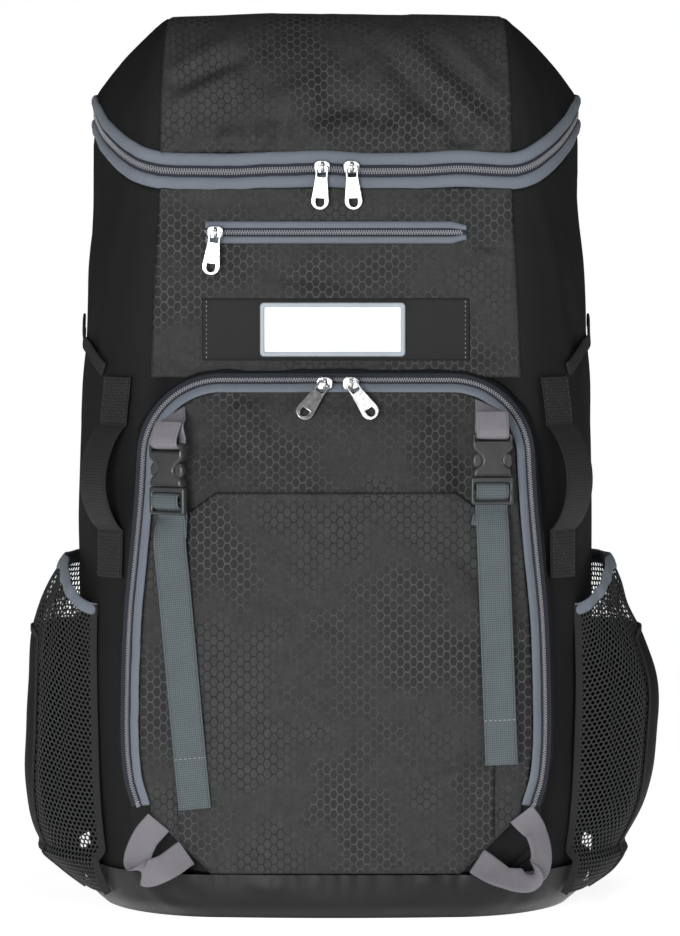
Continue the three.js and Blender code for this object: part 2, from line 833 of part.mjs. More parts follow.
// The honeycomb face inside the U zip, down to the chamfers and the base
const faceNear = faceGap;
const faceFar = faceGap + skinWall;
const faceTop = uZipTop - uZipBand / 2 - seamGap;
function facePanelAt(off) {
  return (across, along) => {
    const z = blend(bootHeight + 1, faceTop, along);
    const zip = insideHalfAt(z) - seamGap;
    const half = z < uZipFoot ? Math.min(chamferHalfAt(z) - 1, zip) : zip;
    return faceAt((across * 2 - 1) * half, z, off);
  };
}
const facePanelAlong = [0, 0.07, 0.14, 0.3, 0.45, 0.6, 0.73, 0.84, 0.91, 0.96, 1];
const facePanel = makeWall(facePanelAt(faceFar), facePanelAt(faceNear), steps(0, 1, 10), facePanelAlong);
addPiece("face_panel", facePanel, "honeycomb");

// The eight-sided slip pocket on the face, a little proud in its middle
function slipHalfAt(z) {
  if (z > slipTop - slipChamfer) return blend(slipTopHalf, slipHalf, (slipTop - z) / slipChamfer);
  return Math.min(slipHalf, chamferHalfAt(z) - 3);
}
function slipPocketAt(near) {
  return (across, along) => {
    const z = blend(bootHeight + 1.5, slipTop, along);
    const share = across * 2 - 1;
    const swell = slipProud * (1 - share ** 4) * Math.sin(Math.PI * along) ** 0.5;
    return faceAt(share * slipHalfAt(z), z, faceFar + near + swell);
  };
}
const slipAlong = [0, 0.08, 0.14, 0.3, 0.45, 0.6, 0.75, 0.87, 0.93, 1];
const slip = makeWall(slipPocketAt(faceGap + skinWall), slipPocketAt(faceGap), steps(0, 1, 8), slipAlong);
addPiece("slip_pocket", slip, "honeycomb");

// The U zip: its coil outside and its binding inside, on the tray between the face's edge and the
// line inside the zip
const uZipProud = 1.8;
const uZipStrips = [
  { name: "u_zip_coil", low: 0.2, high: uZipBand / 2, finish: "coil" },
  { name: "u_zip_binding", low: -uZipBand / 2, high: -0.2, finish: "tape" },
];
function onUZip(sideways, off) {
  return (index) => {
    const share = (sideways - zipInner) / (compartmentMargin - zipInner);
    const place = trayRow(2, 0)(index).lerp(trayRow(1, 0)(index), share);
    place.y -= off;
    return place;
  };
}
const uZipCount = uZipLine.length - 1;
const uZipNear = faceGap * 1.3;
for (const strip of uZipStrips) {
  const face = (off) => (across, along) => {
    const sideways = blend(strip.high, strip.low, along);
    return onUZip(sideways, off)(Math.round(across * uZipCount));
  };
  const geometry = makeWall(face(uZipNear + uZipProud), face(uZipNear), steps(0, 1, uZipCount), [0, 1]);
  addPiece(strip.name, geometry, strip.finish);
}

// The slit pocket's zip, the patch and the label on the upper front

function onFront(x0, z0, x1, z1, off) {
  return (across, along) => {
    const x = blend(x0, x1, across);
    const z = blend(z0, z1, along);
    return new THREE.Vector3(x, bodyFrontAt(x, z) - off, z);
  };
}

function frontSheet(name, x0, z0, x1, z1, near, far, finish) {
  const outer = onFront(x0, z0, x1, z1, far);
  const inner = onFront(x0, z0, x1, z1, near);
  addPiece(name, makeWall(outer, inner, steps(0, 1, 6), [0, 1]), finish);
}

const slitFoot = slitHeight - slitTape / 2;
const slitHead = slitHeight + slitTape / 2;
const trimNear = panelFace + seamGap;
const trimFar = trimNear + skinWall;
frontSheet("slit_zip_tape", -slitHalf, slitFoot, slitHalf, slitHead, trimNear, trimFar, "tape");
const slitCoilHalf = slitHalf - slitMargin;
const slitCoilFoot = slitHeight - slitCoil / 2;
const slitCoilNear = trimFar + seamGap;
const slitCoilFar = slitCoilNear + slitCoilWall;
frontSheet("slit_zip_coil", -slitCoilHalf, slitCoilFoot, slitCoilHalf, slitCoilFoot + slitCoil,
  slitCoilNear, slitCoilFar, "coil");
const patchFoot = patchHeight - patchTall / 2;
const patchHead = patchFoot + patchTall;
frontSheet("label_patch", -patchHalf, patchFoot, patchHalf, patchHead, trimNear, trimFar, "plain");

const labelNear = trimFar + seamGap;
const labelFoot = patchHeight - labelTall / 2;
function labelFrameAt(off) {
  return (across, along) => {
    const half = labelHalf - labelFrame * along;
    const tall = labelTall / 2 - labelFrame * along;
    const corners = [[-1, -1], [1, -1], [1, 1], [-1, 1], [-1, -1]];
    const scaled = across * 4;
    const index = Math.min(Math.floor(scaled), 3);
    const x = labelMiddle + half * blend(corners[index][0], corners[index + 1][0], scaled - index);
    const z = patchHeight + tall * blend(corners[index][1], corners[index + 1][1], scaled - index);
    return new THREE.Vector3(x, bodyFrontAt(x, z) - off, z);
  };
}
const frameFace = labelFrameAt(labelNear + labelWall);
const frameWall = makeWall(frameFace, labelFrameAt(labelNear), steps(0, 1, 8), [0, 1], { ring: true });
addPiece("label_frame", frameWall, "labelEdge");
const labelInset = labelFrame + seamGap;
frontSheet("label_face", labelMiddle - labelHalf + labelInset, labelFoot + labelInset,
  labelMiddle + labelHalf - labelInset, labelFoot + labelTall - labelInset,
  labelNear, labelNear + labelWall * 0.6, "label");

// Sliders and pulls

// A slider's block and the hoop that holds the pull. The hoop's middle is at the origin and its
// legs stand on the block behind it, at +Y. The pull turns in it about X, the zip's own direction.
const hoopOuter = hoopInner + hoopWire;
const blockNear = hoopInner + hoopWire / 2;
const hoopRoot = blockNear + sliderWall / 3;
const hoopSegments = 4;
function makeSlider() {
  const block = new THREE.BoxGeometry(sliderLength, sliderWall, sliderWidth);
  block.translate(0, blockNear + sliderWall / 2, 0);
  const outline = new THREE.Shape();
  outline.absarc(0, 0, hoopOuter, Math.PI, 2 * Math.PI);
  outline.lineTo(hoopOuter, hoopRoot);
  outline.lineTo(-hoopOuter, hoopRoot);
  const eye = new THREE.Path();
  eye.absarc(0, 0, hoopInner, 0, Math.PI, true);
  eye.lineTo(-hoopInner, hoopInner);
  eye.lineTo(hoopInner, hoopInner);
  outline.holes = [eye];
  const hoop = new THREE.ExtrudeGeometry(outline, {
    depth: hoopWidth,
    bevelEnabled: false,
    curveSegments: hoopSegments,
  });
  hoop.translate(0, 0, -hoopWidth / 2);
  const turned = new THREE.Matrix4().makeBasis(
    new THREE.Vector3(0, 0, 1),
    new THREE.Vector3(0, 1, 0),
    new THREE.Vector3(-1, 0, 0),
  );
  hoop.applyMatrix4(turned);
  return toGeometry(toSolid(block).add(toSolid(hoop)));
}

// A pull: its top bar lies on the origin inside the hoop, the tab hangs down and flares to a round
// end with a D-shaped window
function makePull() {
  const barHalf = pullBar / 2;
  const foot = -pullLength + barHalf;
  const round = pullWidth / 2;
  const neck = pullNeck / 2;
  const shoulder = -pullEye - pullShoulder;
  const outline = new THREE.Shape();
  outline.moveTo(neck - pullCorner, barHalf);
  outline.lineTo(pullCorner - neck, barHalf);
  outline.lineTo(-neck, barHalf - pullCorner);
  outline.lineTo(-neck, shoulder);
  outline.lineTo(-round, foot + round);
  outline.absarc(0, foot + round, round, Math.PI, 2 * Math.PI);
  outline.lineTo(neck, shoulder);
  outline.lineTo(neck, barHalf - pullCorner);
  const eye = new THREE.Path(box2(-pullEyeHalf, -barHalf - pullEye, pullEyeHalf, -barHalf));
  const window = new THREE.Path();
  const windowTop = foot + round + pullWall;
  window.moveTo(-pullWindowHalf, windowTop);
  window.lineTo(pullWindowHalf, windowTop);
  window.absarc(0, windowTop - pullWindowHalf, pullWindowHalf, 0, Math.PI, true);
  outline.holes = [eye, window];
  const plate = new THREE.ExtrudeGeometry(outline, {
    depth: pullWall,
    bevelEnabled: false,
    curveSegments: hoopSegments,
  });
  plate.translate(0, 0, -pullWall / 2);
  plate.rotateX(Math.PI / 2);
  return plate;
}

// Puts a slider and its pull on a face, the pull leaning in the face and tilted off it by angles
function addSlider(name, x, z, faceY, lean, tilt = 0) {
  const seat = faceY - seamGap - sliderWall - blockNear;
  const slider = addPiece(name.replace("#", "slider"), makeSlider(), "metal");
  slider.position.set(x, seat, z);
  const pull = addPiece(name.replace("#", "pull"), makePull(), "metal");
  pull.position.set(x, seat, z);
  pull.rotation.set(-tilt, lean, 0, "YXZ");
}

const lidSliders = [
  { name: "lid_#_left", x: -8.5, lean: 0.06 },
  { name: "lid_#_right", x: 9.5, lean: -0.06 },
];
const lidSliderHeight = zipFrontHeight + 2;
for (const slider of lidSliders) {
  const face = bodyFrontAt(slider.x, zipFrontHeight) - zipProud;
  addSlider(slider.name, slider.x, lidSliderHeight, face, slider.lean);
}
const slitSliderAt = -slitHalf + slitMargin * 2;
const slitFace = bodyFrontAt(slitSliderAt + sliderLength / 2, slitHeight) - slitCoilFar;
addSlider("slit_#", slitSliderAt, slitHeight, slitFace, 0.12);
const uSliders = [
  { name: "u_#_left", x: -7, lean: 0.62 },
  { name: "u_#_right", x: 9, lean: -0.62 },
];
for (const slider of uSliders) {
  const face = faceDepthAt(0, uZipTop - uZipBand / 2) - faceGap - uZipProud;
  addSlider(slider.name, slider.x, uZipTop, face, slider.lean, pullTilt);
}

// Webbing and buckles on the compartment

const femaleLength = buckleLength - ladderLength;
const slotHalf = webbing / 2 + 0.5;

// The female half seen from the front: a wide head with the webbing's slot, a waist where the side
// buttons show and a wide mouth. Heights are shares of its length below its top.
const femaleRows = [
  { height: 0, in: 1 },
  { height: 0.12, in: 0 },
  { height: 0.42, in: 0 },
  { height: 0.55, in: buckleWaist },
  { height: 0.8, in: buckleWaist },
  { height: 1, in: 1 },
];

function makeFemale() {
  const half = buckleWidth / 2;
  const right = femaleRows.map((row) => new THREE.Vector2(half - row.in, -row.height * femaleLength));
  const left = right.map((point) => new THREE.Vector2(-point.x, point.y));
  const slot = box2(-slotHalf, -buckleBar - buckleSlot, slotHalf, -buckleBar);
  return makePlate([...left, ...right.reverse()], [slot], buckleWall);
}

// The male half's ladder below the mouth: three bars with two slots between them
function makeLadder() {
  const half = buckleWidth / 2 + 0.5;
  const outline = box2(-half, -ladderLength, half, 0);
  const upper = box2(-slotHalf, -ladderBar - ladderSlot, slotHalf, -ladderBar);
  const lowerFoot = -ladderLength + ladderBar / 2;
  const lower = box2(-slotHalf, lowerFoot, slotHalf, lowerFoot + ladderSlot);
  return makePlate(outline, [upper, lower], ladderWall);
}

for (const strap of frontStraps) {
  const turn = strap.side * strap.turn;
  const level = new THREE.Vector3(1, 0, 0);
  const across = new THREE.Vector3(Math.cos(turn), Math.sin(turn), 0);
  const outward = new THREE.Vector3(Math.sin(turn), -Math.cos(turn), 0);
  const x = strap.side * strap.at;
  const off = strap.off + buckleWall / 2 + clothWall;
  const hub = faceAt(x, strap.top - buckleLength / 2, off).setZ(strap.top);
  const near = (forward, below) => {
    const spot = hub.clone().addScaledVector(outward, forward);
    return spot.setZ(hub.z - below);
  };
  const buckle = new THREE.Group();
  buckle.position.copy(hub);
  buckle.rotation.z = turn;
  bag.add(buckle);
  addPiece(`buckle_female_${strap.name}`, makeFemale(), "buckle", buckle);
  const ladder = addPiece(`buckle_male_${strap.name}`, makeLadder(), "buckle", buckle);
  ladder.position.z = -femaleLength - seamGap;

  // The pale webbing from the zip seam down behind the female buckle's top bar, through its slot and
  // up again in front, where it is sewn to itself
  const barGap = buckleWall / 2 + webbingWall / 2 + seamGap * 2;
  const seamSpot = faceAt(x, strap.webTop, faceFar + webbingWall + seamGap);
  const topRun = runThrough([
    seamSpot,
    near(-2.4, -8),
    near(-barGap, -1),
    near(-barGap * 0.86, 3.6),
    near(0, 3 + buckleSlot / 2 + 0.2),
    near(barGap * 0.86, 3.6),
    near(barGap, -1),
    near(0.6, -7.5),
  ], [level, across, across, across, across, across, across, across]);
  addPiece(`top_webbing_${strap.name}`, makeStrap(topRun, webbing, webbingWall, 17), "paleWebbing");

  // One length of webbing: sewn to the slip pocket's corner, up behind the ladder, through its upper
  // slot and down in front over the middle bar as the hanging tail
  const bar = femaleLength + seamGap + 9.6;
  const clear = ladderWall / 2 + webbingWall / 2 + seamGap * 2;
  const tailX = strap.side * strap.tailAt;
  const hang = (share) => {
    const z = blend(hub.z - bar - 10, strap.tailFoot, share);
    return faceAt(blend(x, tailX, share), z, blend(off, 9, Math.min(share * 2.5, 1)));
  };
  const anchorOff = faceFar + faceGap + skinWall + slipProud + webbingWall * 2.6;
  const anchor = faceAt(x - strap.side * 3, hub.z - bar - 20, anchorOff);
  const overRun = runThrough([
    anchor,
    near(-clear - 0.8, bar + 6),
    near(-clear, bar + 1),
    near(-clear * 0.72, bar - 2.4),
    near(0, bar - 3.5),
    near(clear * 0.72, bar - 2.4),
    near(clear, bar + 1),
    near(clear, bar + 6),
    hang(0.12),
    hang(0.3),
    hang(0.65),
    hang(1),
  ], [across, across, across, across, across, across, across, across, across, level, level, level]);
  addPiece(`tension_strap_${strap.name}`, makeStrap(overRun, webbing, webbingWall, 25), "webbing");
}

// The corner loops on the chamfers. Both ends are sewn along the chamfer's seam, one below the other,
// and the webbing between them stands away from the corner.

for (const loop of cornerLoops) {
  const seamTop = new THREE.Vector2(loop.side * chamferTopHalf, uZipFoot);
  const seamFoot = new THREE.Vector2(loop.side * chamferFoot, bootHeight);
  const onSeam = (share, off) => {
    const spot = seamTop.clone().lerp(seamFoot, share);
    return faceAt(spot.x, spot.y, off);
  };
  const along = onSeam(1, 0).sub(onSeam(0, 0)).normalize();
  const forward = new THREE.Vector3(0, -1, 0);
  const away = new THREE.Vector3().crossVectors(along, forward).normalize();
  if (away.z > 0) away.negate();
  const sewn = faceFar + webbingWall / 2 + seamGap * 2;
  const start = onSeam(loop.start, sewn).addScaledVector(away, -1.1);
  const end = onSeam(loop.end, sewn + loop.lift * 0.2);
  const spot = (share, reach, lift) => start.clone().lerp(end, share)
    .addScaledVector(away, loop.reach * reach)
    .addScaledVector(forward, loop.lift * lift);
  const tilted = along.clone().lerp(forward, loop.lean).normalize();
  const run = runThrough([
    start,
    spot(0.05, 0.5, 0.1),
    spot(0.3, 0.95, 0.35),
    spot(0.6, 1.0, 0.8),
    spot(0.85, 0.6, 1.0),
    end,
  ], [along, tilted, tilted, tilted, tilted, along]);
  addPiece(`corner_loop_${loop.name}`, makeStrap(run, webbing * 0.85, webbingWall, 14), "paleWebbing");
}

// The sides: bat loops, slanted pocket edges and net pockets

// A frame on the body's outside, with its across, up and out directions
function bodyFrame(around, z, off) {
  const place = onBody(around, z);
  const across = onBody(around + 0.01, z).sub(onBody(around - 0.01, z)).normalize();
  const up = onBody(around, z + 2).sub(onBody(around, z - 2)).normalize();
  const out = new THREE.Vector3().crossVectors(across, up).normalize();
  place.addScaledVector(out, off);
  return { place, across, out, up };
}

function batLoopOff(z) {
  const foot = loopFoot + loopPatch;
  const head = loopTop - loopPatch;
  const share = (z - foot) / (head - foot);
  const flat = seamGap + webbingWall / 2;
  if (share <= 0 || share >= 1) return flat;
  return flat + loopBow * Math.sin(Math.PI * share) ** 0.7;
}

const sides = [
  { name: "left", side: -1 },
  { name: "right", side: 1 },
];
for (const { name, side } of sides) {
  const frameAt = (v) => {
    const z = blend(loopFoot, loopTop, v);
    return bodyFrame(side * blend(loopFootAround, loopTopAround, v), z, batLoopOff(z));
  };
  addPiece(`bat_loop_${name}`, makeStrap(frameAt, loopWidth, webbingWall, 16), "blackWebbing");

  const lipOff = seamGap * 2 + skinWall;
  const lipAt = (v) => bodyFrame(side * blend(lipFrom, lipTo, v), blend(lipLow, lipHigh, v), lipOff);
  const lipRun = (v) => {
    const frame = lipAt(v);
    const before = lipAt(Math.max(v - 0.05, 0)).place;
    const run = lipAt(Math.min(v + 0.05, 1)).place.sub(before).normalize();
    return { ...frame, across: new THREE.Vector3().crossVectors(frame.out, run).normalize() };
  };
  addPiece(`side_lip_${name}`, makeStrap(lipRun, lipWidth, skinWall * 1.6, 8), "plain");

  // A place on the pocket: across from its front seam over its outermost line to its rear seam
  const pocketAt = (off) => (across, along) => {
    const angle = Math.PI * across;
    const middle = (pocketFrontDepth + pocketRearDepth) / 2;
    const y = middle - ((pocketRearDepth - pocketFrontDepth) / 2) * Math.cos(angle);
    const rim = blend(pocketFrontRim, pocketRearRim, ease(across * 2.2));
    const z = blend(pocketFoot, rim, along);
    const bulge = readTable(pocketRows, name, z / pocketRearRim) * pocketBulge * Math.sin(angle) ** 0.75;
    const bootOut = (bootEase + bootWall + bootGap + seamGap) * blend(1, 2.6, ease(across * 2 - 1));
    const clear = blend(bootOut, seamGap * 2, ease((z - bootHeight - 2) / 8));
    const outward = Math.max(2 * Math.sin(angle), pocketEdgeTurn);
    const normal = new THREE.Vector2(outward, -Math.cos(angle)).normalize();
    const y1 = y + off * normal.y;
    return new THREE.Vector3(side * (bodySideAt(y1, z) + clear + bulge + off * normal.x), y1, z);
  };
  const netAcross = steps(0, 1, netColumns);
  const netAlong = [0, 0.11, 0.22, 0.34, 0.46, 0.57, 0.68, pouchTop, 0.88, 0.965, 1];
  const present = (column, row) => netAcross[column] < pouchFrom || netAlong[row] >= pouchTop;
  const hole = (column, row) => (row < netAlong.length - 2 ? netCord : 0);
  const net = makeWall(pocketAt(netWall), pocketAt(0), netAcross, netAlong, { present, hole });
  addPiece(`side_net_${name}`, net, "net");
  const pouchAcross = steps(pouchFrom + pouchInset, 1, 6);
  const pouchAlong = steps(0, pouchTop - pouchInset, 6);
  const pouch = makeWall(pocketAt(pouchWall), pocketAt(0), pouchAcross, pouchAlong);
  addPiece(`side_pouch_${name}`, pouch, "plain");
  const bindingAlong = [1 - rimBinding / pocketRearRim, 1];
  const bindingNear = netWall + seamGap * 2.5;
  const bindingFar = bindingNear + bindingWall;
  const binding = makeWall(pocketAt(bindingFar), pocketAt(bindingNear), netAcross, bindingAlong);
  addPiece(`net_binding_${name}`, binding, "tape");
}

// The back

function backPanelAt(off) {
  return (across, along) => {
    const z = blend(backPadFoot, backPadTop, along);
    const share = across * 2 - 1;
    const edge = (1 - share ** 8) * (1 - (along * 2 - 1) ** 24);
    const waist = 1 - backPadWaist * Math.sin(Math.PI * along);
    const y = bodyForm(z).back + seamGap + off * blend(backPadRim, 1, edge);
    return new THREE.Vector3(-share * backPadHalf * waist, y, z);
  };
}
const backPanel = makeWall(backPanelAt(backPad), backPanelAt(0), steps(0, 1, 6), steps(0, 1, 8));
addPiece("back_panel", backPanel, "plain");

for (const { name, side } of sides) {
  const strapBase = bodyBack + seamGap + backPad;
  const strapSpot = (row) => new THREE.Vector3(
    side * row.across * strapSpread,
    strapBase + strapWall / 2 + row.stand * strapStand,
    row.height * backPadTop,
  );
  const right = new THREE.Vector3(-1, 0, 0);
  const run = runThrough(strapRows.map(strapSpot), strapRows.map(() => right));
  const strap = makeStrap(run, strapWidth, strapWall, 11, { across: steps(0, 1, 4), crown: 0.5 });
  addPiece(`shoulder_strap_${name}`, strap, "plain");

  const strapEnd = strapSpot(strapRows[strapRows.length - 1]);
  const adjusterHalf = slotHalf + adjusterCheek;
  const adjusterPlate = makePlate(
    box2(-adjusterHalf, -adjusterLength, adjusterHalf, 0),
    adjusterSlots.map((slot) => box2(-slotHalf, slot.foot, slotHalf, slot.head)),
    adjusterWall,
  );
  const adjuster = addPiece(`strap_adjuster_${name}`, adjusterPlate, "buckle");
  const tangent = run(1).place.sub(run(0.98).place).normalize();
  const upward = tangent.clone().negate();
  const outward = new THREE.Vector3().crossVectors(upward, new THREE.Vector3(1, 0, 0)).normalize();
  const sideways = new THREE.Vector3().crossVectors(outward, upward);
  adjuster.quaternion.setFromRotationMatrix(new THREE.Matrix4().makeBasis(sideways, outward, upward));
  adjuster.position.copy(strapEnd).addScaledVector(tangent, seamGap * 1.5);
  adjuster.updateMatrix();

  // The lower webbing from the adjuster's lower slot over its last bar and down to the bag's corner
  const over = adjusterWall / 2 + webbingWall / 2 + seamGap * 2;
  const atAdjuster = (out, up) => new THREE.Vector3(0, out, up).applyMatrix4(adjuster.matrix);
  const seat = bootGap + bootWall + seamGap * 2 + webbingWall / 2;
  const onBoot = moved(bootSurface, -1, seat);
  const footAcross = (1 + side * lowFootAround) / 2;
  const lowRun = runThrough([
    atAdjuster(0.4, -16),
    atAdjuster(over * 0.8, -19.4),
    atAdjuster(over, -24),
    atAdjuster(over * 0.6, -34),
    atAdjuster(0, -adjusterLength * 2).lerp(onBoot(footAcross, 0), 0.5),
    onBoot(footAcross, 0.05),
    onBoot(footAcross, 0.5),
  ], Array(7).fill(right));
  addPiece(`lower_webbing_${name}`, makeStrap(lowRun, webbing, webbingWall, 14), "blackWebbing");
}

const haulY = bodyForm(haulHeight).back + seamGap + webbingWall * 1.5;
const haulRun = runThrough([
  new THREE.Vector3(-haulHalf, haulY, haulHeight - 4),
  new THREE.Vector3(-haulHalf * 0.8, haulY + haulBow * 0.5, haulHeight),
  new THREE.Vector3(0, haulY + haulBow, haulHeight + 2),
  new THREE.Vector3(haulHalf * 0.8, haulY + haulBow * 0.5, haulHeight),
  new THREE.Vector3(haulHalf, haulY, haulHeight - 4),
], Array(5).fill(new THREE.Vector3(0, 0, 1)));
addPiece("haul_loop", makeStrap(haulRun, webbing, webbingWall * 1.4, 16), "blackWebbing");

export default bag;
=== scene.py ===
"""Looks of a baseball bat backpack, built in the order in which the real bag is sewn together."""

import bpy
import numpy as np
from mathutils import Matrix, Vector


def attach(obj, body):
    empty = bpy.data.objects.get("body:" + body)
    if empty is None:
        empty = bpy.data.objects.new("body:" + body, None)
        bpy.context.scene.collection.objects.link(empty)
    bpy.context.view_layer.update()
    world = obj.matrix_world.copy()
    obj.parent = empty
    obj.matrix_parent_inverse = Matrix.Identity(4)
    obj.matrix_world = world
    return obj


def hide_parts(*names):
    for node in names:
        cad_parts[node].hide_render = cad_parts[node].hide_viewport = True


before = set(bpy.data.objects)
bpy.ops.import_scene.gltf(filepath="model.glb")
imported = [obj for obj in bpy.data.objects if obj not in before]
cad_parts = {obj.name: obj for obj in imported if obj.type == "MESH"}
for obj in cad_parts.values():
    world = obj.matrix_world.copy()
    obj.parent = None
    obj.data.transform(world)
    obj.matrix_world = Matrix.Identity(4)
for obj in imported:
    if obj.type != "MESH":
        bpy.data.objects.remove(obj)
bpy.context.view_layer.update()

# Studio: a white sheet of paper underfoot, one large soft light low in front, weak ones above and
# beside it, and a long lens that looks almost level at the bag's front. The surroundings look white
# and light the bag only a little, so that its black cloth stays black.
eye_tilt = 0.05
eye_distance = 3.4
picture_height = 0.5728
aim = Vector((0.0025, -0.1, 0.277))

paper = bpy.data.materials.new("pale_paper")
paper.use_nodes = True
paper.node_tree.nodes["Principled BSDF"].inputs["Base Color"].default_value = (0.85, 0.85, 0.85, 1)
paper.node_tree.nodes["Principled BSDF"].inputs["Roughness"].default_value = 0.9
paper.node_tree.nodes["Principled BSDF"].inputs["Emission Color"].default_value = (1, 1, 1, 1)
paper.node_tree.nodes["Principled BSDF"].inputs["Emission Strength"].default_value = 0.85
floor_mesh = bpy.data.meshes.new("floor")
floor_mesh.from_pydata([(-2, -1.4, 0), (2, -1.4, 0), (2, 0.9, 0), (-2, 0.9, 0)], [], [(0, 1, 2, 3)])
floor_mesh.materials.append(paper)
floor = bpy.data.objects.new("floor", floor_mesh)
bpy.context.scene.collection.objects.link(floor)

sky = bpy.data.worlds.new("soft_sky")
sky.use_nodes = True
sky.node_tree.nodes["Background"].inputs["Color"].default_value = (1, 1, 1, 1)
seen = sky.node_tree.nodes.new("ShaderNodeLightPath")
strength = sky.node_tree.nodes.new("ShaderNodeMapRange")
strength.inputs["To Min"].default_value = 0.08
sky.node_tree.links.new(seen.outputs["Is Camera Ray"], strength.inputs["Value"])
sky.node_tree.links.new(strength.outputs["Result"], sky.node_tree.nodes["Background"].inputs["Strength"])
bpy.context.scene.world = sky
bpy.context.scene.view_settings.view_transform = "Standard"


def add_softbox(name, place, target, size, power):
    """A square area light at a place, turned to its target."""
    light = bpy.data.lights.new(name, "AREA")
    light.size, light.energy = size, power
    box = bpy.data.objects.new(name, light)
    bpy.context.scene.collection.objects.link(box)
    box.location = place
    box.rotation_euler = (Vector(target) - Vector(place)).to_track_quat("-Z", "Y").to_euler()


add_softbox("light_front", (-0.7, -2.8, 0.3), (0, 0, 0.28), 0.8, 66)
add_softbox("light_above", (0.3, -1.2, 2.2), (0, 0, 0.3), 0.8, 11)
add_softbox("light_left", (-1.9, -1.2, 0.7), (0, 0, 0.3), 0.5, 5)
add_softbox("light_right", (1.9, -1.2, 0.8), (0, 0, 0.3), 0.5, 7)

lens = bpy.data.cameras.new("camera")
lens.lens = lens.sensor_width * eye_distance / picture_height
lens.clip_end = 50
camera = bpy.data.objects.new("camera", lens)
bpy.context.scene.collection.objects.link(camera)
camera.location = aim + Vector((0, -np.cos(eye_tilt), np.sin(eye_tilt))) * eye_distance
camera.rotation_euler = (aim - camera.location).to_track_quat("-Z", "Y").to_euler()
bpy.context.scene.camera = camera

# Body tub: plain woven polyester, cut as front, side gussets and back and sewn into one sleeve
# with a flat floor. It is filled, so its sides swell and show long soft folds.
mm = 0.001
bag_height, body_half, body_front, body_back = 557, 162, 90, 100
widest_depth, front_bow, cloth_wall, seam_gap = 15, 4, 2, 0.3
seam_at, widest_at, rear_at = 0.2, 0.5, 0.8
zip_front_height, zip_side_height, zip_band, zip_end_at = 459, 495, 21, 0.8
hinge_height, hinge_at, tub_floor = 532, 0.88, 2.3
body_rows = {
    "height": (0.0, 0.02, 0.08, 0.2, 0.4, 0.52, 0.62, 0.72, 0.8, 0.93),
    "seam": (0.62, 0.66, 0.69, 0.705, 0.71, 0.71, 0.7, 0.685, 0.67, 0.665),
    "half": (0.86, 0.93, 0.97, 0.99, 1.0, 0.995, 0.975, 0.965, 0.945, 0.93),
    "front": (0.86, 0.94, 0.98, 1.0, 1.0, 0.99, 0.98, 0.97, 0.95, 0.93),
    "back": (0.9, 0.97, 1.0, 1.0, 1.0, 1.0, 1.0, 1.0, 1.0, 0.97),
    "rear": (0.62, 0.68, 0.72, 0.74, 0.75, 0.75, 0.75, 0.74, 0.73, 0.72),
}


def smooth_table(rows, column, at):
    """A curve through a table: cubic pieces whose slope at a row joins the rows beside it."""
    x, y = np.array(rows["height"]), np.array(rows[column])
    last = len(x) - 1
    before, after = np.maximum(np.arange(last + 1) - 1, 0), np.minimum(np.arange(last + 1) + 1, last)
    slope = (y[after] - y[before]) / (x[after] - x[before])
    i = np.clip(np.searchsorted(x, at, side="right") - 1, 0, last - 1)
    span = x[i + 1] - x[i]
    t = np.clip((at - x[i]) / span, 0, 1)
    return ((2 * t**3 - 3 * t**2 + 1) * y[i] + (t**3 - 2 * t**2 + t) * span * slope[i]
            + (3 * t**2 - 2 * t**3) * y[i + 1] + (t**3 - t**2) * span * slope[i + 1])


def ease(share):
    """An S curve from 0 to 1: three times the square less twice the cube."""
    kept = np.clip(share, 0, 1)
    return kept * kept * (3 - 2 * kept)


def body_form(z):
    """The body's level section at a height: its lengths read from the table."""
    height = z / bag_height
    return {
        "seam": smooth_table(body_rows, "seam", height) * body_half,
        "half": smooth_table(body_rows, "half", height) * body_half,
        "front": smooth_table(body_rows, "front", height) * body_front,
        "back": smooth_table(body_rows, "back", height) * body_back,
        "rear": smooth_table(body_rows, "rear", height) * body_half,
        "widest": widest_depth,
    }


def ring_place(around, form):
    """X and Y on a ring: a shallow bow in front, quarter ellipses at the sides and a flat back."""
    side, way = np.where(around < 0, -1, 1), np.minimum(np.abs(around), 1)
    quarter = np.pi / 2
    front = way / seam_at
    turn = np.clip((way - seam_at) / (widest_at - seam_at), 0, 1) * quarter
    bend = np.clip((way - widest_at) / (rear_at - widest_at), 0, 1) * quarter
    flat = (way - rear_at) / (1 - rear_at)
    rear_x = form["rear"] + (form["half"] - form["rear"]) * np.cos(bend) ** 0.8
    rear_y = form["widest"] + (form["back"] - form["widest"]) * np.sin(bend) ** 0.8
    parts = [way <= seam_at, way <= widest_at, way <= rear_at]
    x = np.select(parts, [
        form["seam"] * front,
        form["seam"] + (form["half"] - form["seam"]) * np.sin(turn),
        rear_x], form["rear"] * (1 - flat))
    y = np.select(parts, [
        -form["front"] + front_bow * front * front,
        form["widest"] - (form["widest"] + form["front"] - front_bow) * np.cos(turn),
        rear_y], form["back"])
    return side * x, y


def on_body(around, z):
    """Places on the body's outside, as an array of points."""
    around, z = np.broadcast_arrays(around, z)
    x, y = ring_place(around, body_form(z))
    return np.stack([x, y, z], axis=-1)


def zip_height(around):
    """Height of the lid zip's middle: low in front, higher at the sides, then the hinge seam."""
    way = np.abs(around)
    side = zip_front_height + (zip_side_height - zip_front_height) * ease((way - seam_at) / (widest_at - seam_at))
    return side + (hinge_height - side) * ease((way - zip_end_at) / (hinge_at - zip_end_at))


